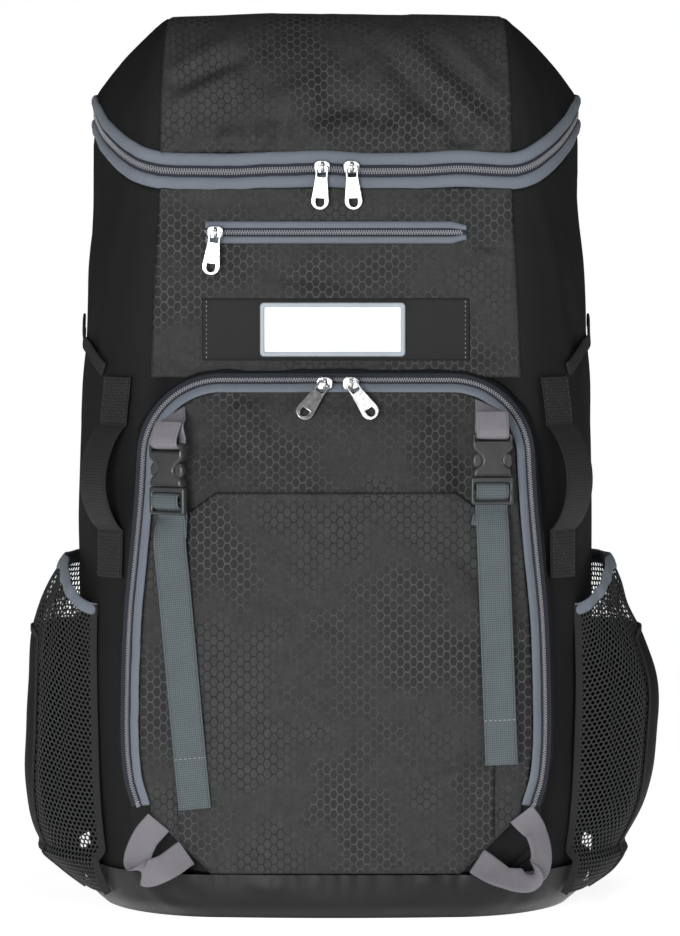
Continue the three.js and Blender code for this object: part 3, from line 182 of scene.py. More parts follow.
def soft_noise(u, v, cell, seed):
    """A smooth random field from -1 to 1: random numbers on a lattice of cells, eased between."""
    lattice = np.random.default_rng(seed).uniform(-1, 1, (64, 64))
    x, y = u / cell + 17.3, v / cell + 29.1
    i, j = np.floor(x).astype(int), np.floor(y).astype(int)
    s, t = ease(x - i), ease(y - j)
    near = lattice[i % 64, j % 64] * (1 - s) + lattice[(i + 1) % 64, j % 64] * s
    far = lattice[i % 64, (j + 1) % 64] * (1 - s) + lattice[(i + 1) % 64, (j + 1) % 64] * s
    return near * (1 - t) + far * t


def folds(u, v, rows):
    """Sums folds, each a line (u0, v0, u1, v1, width, height): a bell across it, faded at its ends."""
    total = np.zeros(np.broadcast(u, v).shape)
    for u0, v0, u1, v1, width, height in rows:
        du, dv = u1 - u0, v1 - v0
        length = np.hypot(du, dv)
        along = ((u - u0) * du + (v - v0) * dv) / length**2
        off = ((u - u0) * dv - (v - v0) * du) / length
        fade = np.clip(4 * along * (1 - along), 0, 1) ** 0.7
        total += height * np.exp(-((off / width) ** 2)) * fade
    return total


def puckers(distance, run, seed, height=0.5, reach=14, pitch=7):
    """Gathers beside a seam: uneven waves along it that die away with the distance from it."""
    wave = soft_noise(run, run * 0, pitch, seed) + 0.5 * soft_noise(run, run * 0, pitch * 0.45, seed + 1)
    return height * wave * np.exp(-np.abs(distance) / reach)


side_folds = [
    (150, 420, 235, 300, 10, 2.2), (120, 470, 160, 330, 8, 1.6), (215, 455, 250, 360, 9, -1.6),
    (130, 330, 170, 230, 9, 1.8), (180, 400, 170, 250, 11, -1.8), (-150, 430, -225, 300, 10, 2.0),
    (-125, 475, -165, 350, 8, 1.7), (-210, 450, -255, 350, 9, -1.6), (-130, 320, -175, 220, 9, 1.8),
    (-178, 400, -172, 260, 11, -1.7), (60, 452, 20, 380, 9, 0.9), (-60, 452, -30, 400, 9, 0.9),
]


def body_relief(around, z):
    """How far the filled body's cloth stands off its even form: soft swells, folds and gathers."""
    run = around * 460
    rim = zip_height(around) - zip_band / 2
    swell = 0.9 * soft_noise(run, z, 62, 3) + 0.45 * soft_noise(run, z, 27, 4)
    gathers = puckers(rim - z, run, 5, 0.7, 16, 6) + puckers(np.abs(np.abs(around) - seam_at) * 460, z, 6, 0.5, 9, 8)
    return (swell + folds(run, z, side_folds) + gathers) * ease((rim - z) / 9) * ease((z - 4) / 18)


def cloth_normals(places, facing):
    """Unit normals of a grid of places: the cross product of its two directions."""
    across, along = np.gradient(places, axis=1), np.gradient(places, axis=0)
    normals = np.cross(across, along)
    length = np.linalg.norm(normals, axis=-1, keepdims=True)
    return facing * normals / np.maximum(length, 1e-9)


def run_lengths(places, axis):
    """Distance along a grid's rows or columns, from its first line, in the grid's own unit."""
    step = np.linalg.norm(np.diff(places, axis=axis), axis=-1)
    pad = [(0, 0), (0, 0)]
    pad[axis] = (1, 0)
    return np.pad(np.cumsum(step, axis=axis), pad)


def cloth_piece(name, places, uv=None, ring=False, pole=False, cap=False, flip=False, wall=0.0):
    """A cloth surface on a grid of places in millimetres, rows by columns. ring joins the last
    column to the first, pole closes the last row to one point and cap the first, wall gives it a
    thickness inwards. Its UV map holds distances on the cloth in metres."""
    rows, columns = places.shape[:2]
    if uv is None:
        closed = np.concatenate([places, places[:, :1]], axis=1) if ring else places
        across, along = run_lengths(closed, 1), run_lengths(closed, 0)
        uv = np.stack([across - across[:, -1:] / 2, np.broadcast_to(along.mean(axis=1, keepdims=True), across.shape)], axis=-1)
    index = np.arange(rows * columns).reshape(rows, columns)
    right = np.roll(index, -1, axis=1) if ring else index[:, 1:]
    left = index if ring else index[:, :-1]
    quads = np.stack([left[:-1], right[:-1], right[1:], left[1:]], axis=-1).reshape(-1, 4)
    corner_uv = np.stack([uv[:-1, :-1], uv[:-1, 1:], uv[1:, 1:], uv[1:, :-1]], axis=2).reshape(-1, 2)
    points = places.reshape(-1, 3)
    if flip:
        quads = quads[:, ::-1]
        corner_uv = corner_uv.reshape(-1, 4, 2)[:, ::-1].reshape(-1, 2)
    faces = quads.tolist()
    for row in [-1] * pole + [0] * cap:
        points = np.concatenate([points, places[row].mean(axis=0, keepdims=True)])
        fan = np.stack([left[row], right[row], np.full(left.shape[1], len(points) - 1)], axis=-1)
        tip = np.broadcast_to(uv[row].mean(axis=0), uv[row, :-1].shape)
        fan_uv = np.stack([uv[row, :-1], uv[row, 1:], tip], axis=1)
        if flip == (row == -1):
            fan, fan_uv = fan[:, ::-1], fan_uv[:, ::-1]
        faces += fan.tolist()
        corner_uv = np.concatenate([corner_uv, fan_uv.reshape(-1, 2)])
    mesh = bpy.data.meshes.new(name)
    mesh.from_pydata((points * mm).tolist(), [], faces)
    layer = mesh.uv_layers.new(name="cloth")
    layer.data.foreach_set("uv", (corner_uv * mm).astype(np.float32).ravel())
    mesh.shade_smooth()
    piece = bpy.data.objects.new(name, mesh)
    bpy.context.scene.collection.objects.link(piece)
    if wall:
        thick = piece.modifiers.new("cloth_wall", "SOLIDIFY")
        thick.thickness, thick.offset = wall * mm, -1
    return piece


def place_piece(piece, material, slot, *replaced, body="bag"):
    """Gives a piece its material, its body and the CAD nodes that it stands for. Its slot is not used."""
    piece.data.materials.clear()
    piece.data.materials.append(material)
    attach(piece, body)
    if replaced:
        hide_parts(*replaced)
    return piece


def add_node(tree, kind, settings=None, **inputs):
    """A shader node with its settings, its inputs given as numbers, colours or other sockets.
    An input's name may use _ for a space, or in0, in1 ... for its number."""
    node = tree.nodes.new(kind)
    for key, value in (settings or {}).items():
        setattr(node, key, value)
    for key, value in inputs.items():
        socket = node.inputs[int(key[2:])] if key[:2] == "in" and key[2:].isdigit() else node.inputs[key.replace("_", " ")]
        if isinstance(value, bpy.types.NodeSocket):
            tree.links.new(value, socket)
        else:
            socket.default_value = value
    return node


def maths(tree, operation, a, b=0.0, c=0.0):
    """One Math node's result."""
    return add_node(tree, "ShaderNodeMath", {"operation": operation}, in0=a, in1=b, in2=c).outputs[0]


def cloth_material(name, colour, pitch, roughness=0.8, sheen=0.15, bump=0.25, mottling=0.25, twill=0.0):
    """Woven cloth: sines along warp and weft make the bump of a plain weave of that pitch in metres,
    noise mottles the colour and the roughness, and sheen stands for the yarn's fibres."""
    material = bpy.data.materials.new(name)
    material.use_nodes = True
    tree = material.node_tree
    shader = tree.nodes["Principled BSDF"]
    uv = add_node(tree, "ShaderNodeUVMap", {"uv_map": "cloth"}).outputs["UV"]
    split = add_node(tree, "ShaderNodeSeparateXYZ", Vector=uv)
    step = 2 * np.pi / pitch
    slanted = maths(tree, "MULTIPLY_ADD", split.outputs["Y"], twill, split.outputs["X"])
    warp = maths(tree, "SINE", maths(tree, "MULTIPLY", slanted, step))
    weft = maths(tree, "SINE", maths(tree, "MULTIPLY", split.outputs["Y"], step))
    weave = maths(tree, "MULTIPLY", warp, weft)
    blotches = add_node(tree, "ShaderNodeTexNoise", Vector=uv, Scale=22.0, Detail=4.0, Roughness=0.6)
    dust = add_node(tree, "ShaderNodeTexNoise", Vector=uv, Scale=900.0, Detail=2.0)
    low = tuple(c * (1 - mottling) for c in colour) + (1,)
    high = tuple(c * (1 + mottling) for c in colour) + (1,)
    tone = maths(tree, "MULTIPLY_ADD", dust.outputs["Fac"], 0.4, maths(tree, "MULTIPLY", blotches.outputs["Fac"], 0.6))
    shade = add_node(tree, "ShaderNodeMix", {"data_type": "RGBA"}, Factor=tone, in6=low, in7=high)
    tree.links.new(shade.outputs[2], shader.inputs["Base Color"])
    gloss = maths(tree, "MULTIPLY_ADD", blotches.outputs["Fac"], 0.2, roughness - 0.1)
    tree.links.new(gloss, shader.inputs["Roughness"])
    height = maths(tree, "MULTIPLY_ADD", dust.outputs["Fac"], 0.5, weave)
    relief = add_node(tree, "ShaderNodeBump", Height=height, Strength=bump, Distance=0.0003)
    tree.links.new(relief.outputs["Normal"], shader.inputs["Normal"])
    shader.inputs["Sheen Weight"].default_value = sheen
    shader.inputs["Sheen Roughness"].default_value = 0.4
    shader.inputs["Specular IOR Level"].default_value = 0.1
    return material


plain_cloth = cloth_material("plain_cloth", (0.0095, 0.0098, 0.0102), 0.0007, roughness=0.7, sheen=0.0)

body_columns, body_levels = 250, 100
body_around = np.linspace(-1, 1, body_columns, endpoint=False)[None, :]
body_down = np.linspace(0, 1, body_levels)[:, None]
body_rim = zip_height(body_around) - zip_band / 2 - seam_gap
body_z = body_rim + (tub_floor - body_rim) * body_down
body_places = on_body(body_around, body_z)
body_out = cloth_normals(np.concatenate([body_places[:, -1:], body_places, body_places[:, :1]], axis=1), -1)[:, 1:-1]
body_tuck = 3.2 * ease((seam_at - 0.006 - np.abs(body_around)) / 0.012)
body_places = body_places + body_out * (body_relief(body_around, body_z) - body_tuck)[..., None]
floor_shares = np.array([0.97, 0.9, 0.7, 0.4, 0.1])[:, None, None]
floor_ring = body_places[-1:] * np.array([1, 1, 0]) * floor_shares + np.array([0, 0, tub_floor])
tub = cloth_piece("body_cloth", np.concatenate([body_places, floor_ring]), ring=True, pole=True, flip=True, wall=cloth_wall)
place_piece(tub, plain_cloth, "plain_cloth", "body_shell")

# Base boot: one piece of coated cloth, glossy and stiff, folded up round the foot of the bag and
# sewn to it 28 mm up, where it gathers a little at the corners.
boot_height, boot_wall, boot_front, boot_seam, boot_ease, boot_gap = 28, 1.5, 112, 78, 4, 0.8


def boot_place(around, z):
    """The boot's level section: the body's ring pushed out, and further out in front."""
    form = body_form(z)
    taper = form["front"] / body_front
    form = {**form, "seam": boot_seam * taper, "half": form["half"] + boot_ease, "front": boot_front * taper}
    x, y = ring_place(around, form)
    return np.stack(np.broadcast_arrays(x, y, z), axis=-1)


def coated_material(name, colour, roughness):
    """Cloth with a gloss coat: a faint weave under it, long soft creases and a few dull scuffs."""
    material = bpy.data.materials.new(name)
    material.use_nodes = True
    tree = material.node_tree
    shader = tree.nodes["Principled BSDF"]
    place = add_node(tree, "ShaderNodeTexCoord").outputs["Object"]
    uv = add_node(tree, "ShaderNodeUVMap", {"uv_map": "cloth"}).outputs["UV"]
    split = add_node(tree, "ShaderNodeSeparateXYZ", Vector=uv)
    warp = maths(tree, "SINE", maths(tree, "MULTIPLY", split.outputs["X"], 2 * np.pi / 0.0009))
    weft = maths(tree, "SINE", maths(tree, "MULTIPLY", split.outputs["Y"], 2 * np.pi / 0.0009))
    scuffs = add_node(tree, "ShaderNodeTexNoise", Vector=place, Scale=16.0, Detail=5.0, Roughness=0.65)
    crumple = add_node(tree, "ShaderNodeTexNoise", Vector=place, Scale=38.0, Detail=3.0)
    dull = add_node(tree, "ShaderNodeMapRange", Value=scuffs.outputs["Fac"], in1=0.35, in2=0.75, in3=roughness, in4=roughness + 0.2)
    tree.links.new(dull.outputs["Result"], shader.inputs["Roughness"])
    shade = add_node(tree, "ShaderNodeMix", {"data_type": "RGBA"}, Factor=scuffs.outputs["Fac"],
                     in6=tuple(c * 0.7 for c in colour) + (1,), in7=tuple(c * 1.5 for c in colour) + (1,))
    tree.links.new(shade.outputs[2], shader.inputs["Base Color"])
    height = maths(tree, "MULTIPLY_ADD", crumple.outputs["Fac"], 3.0, maths(tree, "MULTIPLY", maths(tree, "MULTIPLY", warp, weft), 0.25))
    relief = add_node(tree, "ShaderNodeBump", Height=height, Strength=0.35, Distance=0.0005)
    tree.links.new(relief.outputs["Normal"], shader.inputs["Normal"])
    shader.inputs["Specular IOR Level"].default_value = 0.25
    return material


coated_cloth = coated_material("coated_cloth", (0.006, 0.006, 0.0065), 0.3)
boot_folds = [
    (-150, 30, -118, 4, 6, 1.4), (-128, 28, -96, 6, 5, -1.0), (96, 28, 140, 8, 6, 1.3),
    (150, 30, 128, 2, 5, -1.1), (60, 27, 98, 14, 5, 0.8), (-70, 26, -40, 16, 6, 0.7),
]
boot_down = np.linspace(0, 1, 26)[:, None]
boot_z = boot_height + (0.2 + boot_wall + boot_gap - boot_height) * ease(boot_down * 0.5) * 2
boot_around = np.linspace(-1, 1, 320, endpoint=False)[None, :]
boot_places = boot_place(boot_around, boot_z)
boot_out = cloth_normals(np.concatenate([boot_places[:, -1:], boot_places, boot_places[:, :1]], axis=1), -1)[:, 1:-1]
boot_run = boot_around * 470
boot_relief = (0.8 * soft_noise(boot_run, boot_z, 30, 12) + folds(boot_run, boot_z, boot_folds)
               + puckers(boot_height - boot_z, boot_run, 13, 0.5, 8, 6)) * ease((boot_z - 3) / 9)
boot_places = boot_places + boot_out * (boot_gap + boot_wall + boot_relief)[..., None]
boot_places[..., 2] = np.maximum(boot_places[..., 2], 0.6)
boot_turn = boot_places[-1:] * np.array([1, 1, 0]) * np.array([0.995, 0.985, 0.95, 0.6, 0.2])[:, None, None]
boot = cloth_piece("base_boot_cloth", np.concatenate([boot_places, boot_turn]), ring=True, pole=True, flip=True, wall=0.9)
place_piece(boot, coated_cloth, "coated_cloth", "base_boot")

# Upper front: honeycomb cloth, a ripstop whose cells and lines shine against each other as it
# bends, that sheen painted into its colour, sewn in between the side gussets under the lid's zip.


def honeycomb_material(name, seed=0.0):
    """Honeycomb ripstop: two lattices of centres give the distance to the nearest cell's edge, which
    parts lines from cells. Large soft noise paints the sheen: where cells or lines are the lighter ones, and a finer
    noise paints the shade of small wrinkles."""
    material = bpy.data.materials.new(name)
    material.use_nodes = True
    tree = material.node_tree
    shader = tree.nodes["Principled BSDF"]
    uv = add_node(tree, "ShaderNodeUVMap", {"uv_map": "cloth"}).outputs["UV"]
    cell_width, cell_height = 0.0027, 0.00361
    cells = add_node(tree, "ShaderNodeVectorMath", {"operation": "DIVIDE"}, in0=uv, in1=(cell_width, cell_height, 1)).outputs[0]
    half = (1.5, 3**0.5 / 2, 0)
    minus = tuple(-h for h in half)

    def hexagon(point):
        """Distance from a six-sided cell's middle, its edge at the square root of 3 over 2."""
        near = add_node(tree, "ShaderNodeVectorMath", {"operation": "WRAP"}, in0=point, in1=half, in2=minus).outputs[0]
        size = add_node(tree, "ShaderNodeVectorMath", {"operation": "ABSOLUTE"}, in0=near).outputs[0]
        part = add_node(tree, "ShaderNodeSeparateXYZ", Vector=size)
        slanted = maths(tree, "MULTIPLY_ADD", part.outputs["X"], 3**0.5 / 2, maths(tree, "MULTIPLY", part.outputs["Y"], 0.5))
        return maths(tree, "MAXIMUM", slanted, part.outputs["Y"])

    shifted = add_node(tree, "ShaderNodeVectorMath", {"operation": "ADD"}, in0=cells, in1=half).outputs[0]
    middle = maths(tree, "MINIMUM", hexagon(cells), hexagon(shifted))
    line = add_node(tree, "ShaderNodeMapRange", {"interpolation_type": "SMOOTHSTEP"}, Value=middle, in1=0.68, in2=0.82, in3=0.0, in4=1.0).outputs["Result"]
    moved_uv = add_node(tree, "ShaderNodeVectorMath", {"operation": "ADD"}, in0=uv, in1=(seed, seed * 0.7, 0)).outputs[0]
    # Painted sheen: soft patches where the cells are lighter and the lines darker, and the other way round.
    sheen_zones = add_node(tree, "ShaderNodeTexNoise", Vector=moved_uv, Scale=11.0, Detail=3.0, Roughness=0.55).outputs["Fac"]
    lit = add_node(tree, "ShaderNodeMapRange", {"interpolation_type": "SMOOTHSTEP"}, Value=sheen_zones, in1=0.36, in2=0.64, in3=0.0, in4=1.0).outputs["Result"]
    cell_tone = add_node(tree, "ShaderNodeMix", {"data_type": "RGBA"}, Factor=lit, in6=(0.017, 0.017, 0.0172, 1), in7=(0.040, 0.040, 0.0402, 1)).outputs[2]
    line_tone = add_node(tree, "ShaderNodeMix", {"data_type": "RGBA"}, Factor=lit, in6=(0.080, 0.080, 0.0815, 1), in7=(0.018, 0.018, 0.0182, 1)).outputs[2]
    tone = add_node(tree, "ShaderNodeMix", {"data_type": "RGBA"}, Factor=line, in6=cell_tone, in7=line_tone).outputs[2]
    split = add_node(tree, "ShaderNodeSeparateXYZ", Vector=uv)
    warp = maths(tree, "SINE", maths(tree, "MULTIPLY", split.outputs["X"], 2 * np.pi / 0.00075))
    weft = maths(tree, "SINE", maths(tree, "MULTIPLY", split.outputs["Y"], 2 * np.pi / 0.00065))
    weave = maths(tree, "MULTIPLY", warp, weft)
    woven = add_node(tree, "ShaderNodeMix", {"data_type": "RGBA", "blend_type": "MULTIPLY"}, Factor=0.75, in6=tone)
    # Painted shade of small wrinkles, multiplied with the weave into the colour.
    crumple = add_node(tree, "ShaderNodeTexNoise", Vector=uv, Scale=130.0, Detail=5.0, Roughness=0.7).outputs["Fac"]
    wrinkle_shade_and_weave = maths(tree, "MULTIPLY_ADD", crumple, 1.3, maths(tree, "MULTIPLY", weave, 0.6))
    tree.links.new(wrinkle_shade_and_weave, woven.inputs[7])
    tree.links.new(woven.outputs[2], shader.inputs["Base Color"])
    gloss = add_node(tree, "ShaderNodeMapRange", Value=line, in1=0.0, in2=1.0, in3=0.5, in4=0.66).outputs["Result"]
    tree.links.new(gloss, shader.inputs["Roughness"])
    height = maths(tree, "MULTIPLY_ADD", line, 1.4, maths(tree, "MULTIPLY", weave, 0.4))
    relief = add_node(tree, "ShaderNodeBump", Height=height, Strength=0.5, Distance=0.00025)
    tree.links.new(relief.outputs["Normal"], shader.inputs["Normal"])
    shader.inputs["Specular IOR Level"].default_value = 0.2
    return material


honeycomb = honeycomb_material("honeycomb_cloth")
skin_wall, compartment_top = 1, 331
front_folds = [
    (-55, 398, 18, 388, 5, -2.2), (18, 388, 70, 372, 6, -1.2), (-40, 406, 30, 402, 7, 1.6),
    (82, 414, 106, 411, 3, -2.0), (-100, 404, -60, 380, 8, 1.0), (60, 404, 112, 380, 8, 1.1),
    (84, 342, 112, 350, 4, -1.6), (-112, 344, -84, 338, 4, -1.4), (-30, 340, 40, 338, 4, -1.2),
]


def front_relief(x, z):
    """How far the upper front stands off the body: the body's own relief and folds round the slit."""
    around = x / body_form(z)["seam"] * seam_at
    return body_relief(around, z) + folds(x, z, front_folds) * ease((zip_height(around) - 12 - z) / 10)


def body_front_at(x, z):
    """Depth of the body's front at (x, z): the bow inside the seam, the ellipse beside it."""
    form = body_form(z)
    reach = np.abs(x)
    sine = np.clip((reach - form["seam"]) / (form["half"] - form["seam"]), 0, 1)
    side = form["widest"] - (form["widest"] + form["front"] - front_bow) * np.sqrt(1 - sine * sine)
    return np.where(reach <= form["seam"], -form["front"] + front_bow * (reach / form["seam"]) ** 2, side)


panel_share = np.linspace(-1, 1, 110)[None, :]
panel_up = np.linspace(0, 1, 60)[:, None]
panel_rim = zip_height(panel_share * seam_at) - zip_band / 2 - seam_gap
panel_z = compartment_top + 1 + (panel_rim - compartment_top - 1) * panel_up
panel_x = panel_share * body_form(panel_z)["seam"]
panel_edge = 1 - ease((1 - np.abs(panel_share)) * 55)
panel_off = seam_gap + skin_wall - panel_edge * 0.9 + front_relief(panel_x, panel_z)
panel_places = np.stack([panel_x, body_front_at(panel_x, panel_z) - panel_off, panel_z + 0 * panel_x], axis=-1)
front_panel = cloth_piece("front_panel_cloth", panel_places, uv=np.stack([panel_x, panel_z + 0 * panel_x], axis=-1), wall=skin_wall)
place_piece(front_panel, honeycomb, "honeycomb_cloth", "front_panel")

# Lid: a plain cloth hood with gussets at its sides and back, and one wide honeycomb panel over the
# front and top, slack enough to fall into long slanting folds above the zip.
crown_height, crown_rise, crown_middle, crown_share = 553, 4, 20, 0.7
crown = {"seam": 103, "half": 106, "front": 38, "back": 82, "rear": 88, "widest": 20}


def lid_place(around, along):
    """The lid from its rim (along 0) up to the crown's edge and in to its middle (along 1)."""
    way = np.abs(around)
    above = zip_height(around) + zip_band / 2 + seam_gap
    rim = np.where(way <= zip_end_at + 0.01, above, above - zip_band - seam_gap)
    foot_x, foot_y = ring_place(around, body_form(rim))
    top_x, top_y = ring_place(around, {key: np.full_like(around, value, dtype=float) for key, value in crown.items()})
    share = np.minimum(along / crown_share, 1)
    bulge = np.where(way <= widest_at, 0.95 - 0.7 * ease((way - seam_at) / (widest_at - seam_at)),
                     0.25 + 0.75 * ease((way - widest_at) / (rear_at - widest_at)))
    inward = share + (1 - np.cos(share * np.pi / 2) - share) * bulge
    upward = share + (np.sin(share * np.pi / 2) - share) * bulge
    x, y = foot_x + (top_x - foot_x) * inward, foot_y + (top_y - foot_y) * inward
    z = rim + (crown_height - rim) * upward
    top = np.clip((along - crown_share) / (1 - crown_share), 0, 1)
    return np.stack([x * (1 - top), y + (crown_middle - y) * top, z + crown_rise * np.sin(top * np.pi / 2)], axis=-1)


lid_folds = [
    (34, 545, 100, 474, 8, 5.0), (62, 548, 104, 500, 6, 2.6), (22, 540, 84, 470, 7, -3.4),
    (-102, 496, -60, 520, 7, 3.6), (-104, 518, -54, 542, 6, 3.0), (-102, 507, -52, 530, 5, -3.0),
    (-12, 505, 40, 488, 8, -3.8), (-48, 494, -8, 514, 9, 3.0), (-20, 488, 22, 503, 6, -3.0),
    (30, 468, 46, 502, 8, 2.8), (56, 472, 96, 480, 6, -3.2), (-92, 474, -20, 480, 7, 2.4),
    (-72, 470, -62, 486, 6, 2.6), (-46, 470, -40, 490, 6, 2.8), (-12, 470, -6, 492, 7, 3.0), (62, 470, 68, 490, 6, 2.6),
    (20, 540, 4, 520, 7, -1.2), (70, 474, 40, 482, 5, -1.2),
]


def lid_relief(places, around):
    """Slack of the lid's cloth: slanting folds, soft swells and gathers along the zip."""
    x, z = places[..., 0], places[..., 2]
    run = around * 460
    rim = zip_height(around) + zip_band / 2
    rise = z - rim
    swell = 0.9 * soft_noise(run, places[..., 1] + z, 40, 21) + 0.4 * soft_noise(run, places[..., 1] + z, 18, 22)
    front = folds(x, z, lid_folds) * (places[..., 1] < crown_middle)
    gathers = puckers(rise, run, 23, 1.1, 12, 6) * (np.abs(around) < zip_end_at)
    return (swell + front + gathers) * ease(rise / 8)


lid_around = np.linspace(-1, 1, 300, endpoint=False)[None, :]
lid_along = np.concatenate([np.linspace(0, 0.7, 44), np.linspace(0.72, 0.985, 12)])[:, None]
lid_around, lid_along = np.broadcast_arrays(lid_around, lid_along)
lid_places = lid_place(lid_around, lid_along)
lid_out = cloth_normals(np.concatenate([lid_places[:, -1:], lid_places, lid_places[:, :1]], axis=1), 1)[:, 1:-1]
lid_places = lid_places + lid_out * lid_relief(lid_places, lid_around)[..., None]
lid = cloth_piece("lid_cloth", lid_places, ring=True, pole=True, wall=cloth_wall)
place_piece(lid, plain_cloth, "plain_cloth", "lid_shell")

lid_panel_around = np.linspace(-seam_at, seam_at, 124)[None, :]
lid_panel_along = np.linspace(0.0, 0.86, 70)[:, None]
lid_panel_around, lid_panel_along = np.broadcast_arrays(lid_panel_around, lid_panel_along)
lid_panel_base = lid_place(lid_panel_around, lid_panel_along)
lid_panel_out = cloth_normals(lid_panel_base, 1)
lid_panel_edge = 1 - ease((1 - np.abs(lid_panel_around) / seam_at) * 60)
lid_panel_off = seam_gap + skin_wall - 0.9 * lid_panel_edge + lid_relief(lid_panel_base, lid_panel_around)
lid_panel_places = lid_panel_base + lid_panel_out * lid_panel_off[..., None]
lid_panel = cloth_piece("lid_front_panel_cloth", lid_panel_places, wall=skin_wall)
place_piece(lid_panel, honeycomb, "honeycomb_cloth", "lid_front_panel")

# Lid zip: a nylon coil on a grey tape, covered above and below by a folded binding of the same
# grey, running from one rear corner round the front to the other.
zip_coil_width, zip_proud = 8, 1.2
zip_tape = cloth_material("zip_tape", (0.135, 0.152, 0.18), 0.0006, roughness=0.75, sheen=0.06, bump=0.35, mottling=0.22)
zip_ground = cloth_material("zip_ground", (0.024, 0.026, 0.036), 0.0008, roughness=0.7, sheen=0.05, bump=0.3, mottling=0.2)


def plastic_material(name, colour, roughness, grain=1500.0):
    """Moulded plastic: a fine grain in its surface, and a roughness that wanders a little."""
    material = bpy.data.materials.new(name)
    material.use_nodes = True
    tree = material.node_tree
    shader = tree.nodes["Principled BSDF"]
    place = add_node(tree, "ShaderNodeTexCoord").outputs["Object"]
    fine = add_node(tree, "ShaderNodeTexNoise", Vector=place, Scale=grain, Detail=2.0)
    broad = add_node(tree, "ShaderNodeTexNoise", Vector=place, Scale=90.0, Detail=3.0)
    shade = add_node(tree, "ShaderNodeMix", {"data_type": "RGBA"}, Factor=broad.outputs["Fac"],
                     in6=tuple(c * 0.85 for c in colour) + (1,), in7=tuple(c * 1.15 for c in colour) + (1,))
    tree.links.new(shade.outputs[2], shader.inputs["Base Color"])
    gloss = maths(tree, "MULTIPLY_ADD", broad.outputs["Fac"], 0.18, roughness - 0.09)
    tree.links.new(gloss, shader.inputs["Roughness"])
    relief = add_node(tree, "ShaderNodeBump", Height=fine.outputs["Fac"], Strength=0.12, Distance=0.0002)
    tree.links.new(relief.outputs["Normal"], shader.inputs["Normal"])
    return material


zip_nylon = plastic_material("zip_nylon", (0.2, 0.2, 0.215), 0.4)


def along_run(places, across, out, profile, uv_shift=0.0):
    """Carries a profile along a path: each row is the path moved sideways and out by one of the
    profile's points (sideways, out), both in millimetres."""
    profile = np.asarray(profile, dtype=float)
    return places[None] + across[None] * profile[:, 0, None, None] + out[None] * profile[:, 1, None, None]


def path_frames(places, out):
    """Sideways and outward unit vectors beside a path: out is made square to the path's direction."""
    direction = np.gradient(places, axis=0)
    direction /= np.linalg.norm(direction, axis=-1, keepdims=True)
    out = out - (out * direction).sum(-1, keepdims=True) * direction
    out /= np.linalg.norm(out, axis=-1, keepdims=True)
    return direction, np.cross(direction, out), out


def even_path(places, spacing):
    """The same path with points at one even spacing."""
    run = np.concatenate([[0], np.cumsum(np.linalg.norm(np.diff(places, axis=0), axis=-1))])
    stations = np.linspace(0, run[-1], max(int(run[-1] / spacing), 2))
    return np.stack([np.interp(stations, run, places[:, k]) for k in range(3)], axis=-1)


def teeth_piece(name, places, out, width, pitch, height):
    """A coil's teeth: two rows of little ridged bars across a path, set in step with each other."""
    stations = even_path(places, pitch)
    guide = np.stack([np.interp(np.linspace(0, 1, len(stations)), np.linspace(0, 1, len(out)), out[:, k]) for k in range(3)], axis=-1)
    direction, across, lifted = path_frames(stations, guide)
    length = width * 0.3
    bar = np.array([(s, r, h) for s in (-1, 1) for r, h in ((-0.34, 0.0), (-0.24, 0.8), (0.0, 1.0), (0.24, 0.8), (0.34, 0.0))])
    bars = []
    for side, shift in ((-1, 0.0), (1, 0.5)):
        spot = stations[:, None] + direction[:, None] * ((bar[:, 1] + shift) * pitch)[None, :, None]
        spot = spot + across[:, None] * (side * length * 0.42 + bar[:, 0] * length / 2)[None, :, None]
        bars.append(spot + lifted[:, None] * (bar[:, 2] * height)[None, :, None])
    points = np.concatenate(bars).reshape(-1, 3)
    one = [(0, 1, 6, 5), (1, 2, 7, 6), (2, 3, 8, 7), (3, 4, 9, 8), (4, 0, 5, 9), (4, 3, 2, 1, 0), (5, 6, 7, 8, 9)]
    faces = [tuple(i + 10 * k for i in face) for k in range(2 * len(stations)) for face in one]
    mesh = bpy.data.meshes.new(name)
    mesh.from_pydata((points * mm).tolist(), [], faces)
    piece = bpy.data.objects.new(name, mesh)
    bpy.context.scene.collection.objects.link(piece)
    return piece


zip_around = np.linspace(-zip_end_at, zip_end_at, 420)
zip_line = on_body(zip_around, zip_height(zip_around))
zip_line[:, 2] += 1.1 * soft_noise(zip_around * 460, zip_around * 0, 24, 31)
ring_line = on_body(zip_around, np.full_like(zip_around, 470.0))
zip_direction = np.gradient(zip_line, axis=0)
zip_level = np.cross(np.gradient(ring_line, axis=0), np.array([0, 0, 1.0]))
zip_run, zip_across, zip_out = path_frames(zip_line, zip_level)
zip_up = -zip_across * np.sign(zip_across[len(zip_across) // 2, 2]) * -1
binding_profile = [(0.0, -0.6), (0.1, 0.7), (0.9, 1.5), (2.2, 1.9), (4.0, 1.9), (5.4, 1.5), (6.2, 0.7), (6.4, -0.6)]
edge_wave = 0.35 * soft_noise(zip_around * 460, zip_around * 0, 9, 33)[:, None]
for name, side, node in (("lid_zip_upper_binding", 1, "lid_zip_upper_tape"), ("lid_zip_lower_binding", -1, "lid_zip_lower_tape")):
    profile = [(side * (s + 4.2), o) for s, o in binding_profile]
    strip = cloth_piece(name, along_run(zip_line + zip_out * edge_wave, zip_up, zip_out, profile), flip=side > 0, wall=0.8)
    place_piece(strip, zip_tape, "zip_tape", node)
ground_profile = [(-4.6, 0.35), (-2.6, 0.45), (0, 0.5), (2.6, 0.45), (4.6, 0.35)]
ground = cloth_piece("lid_zip_ground", along_run(zip_line, zip_up, zip_out, ground_profile), flip=True, wall=0.6)
place_piece(ground, zip_ground, "zip_coil", "lid_zip_coil")
teeth = teeth_piece("lid_zip_teeth", zip_line + zip_out * 0.5, zip_out, 6.5, 1.5, 0.9)
place_piece(teeth, zip_nylon, "zip_coil")

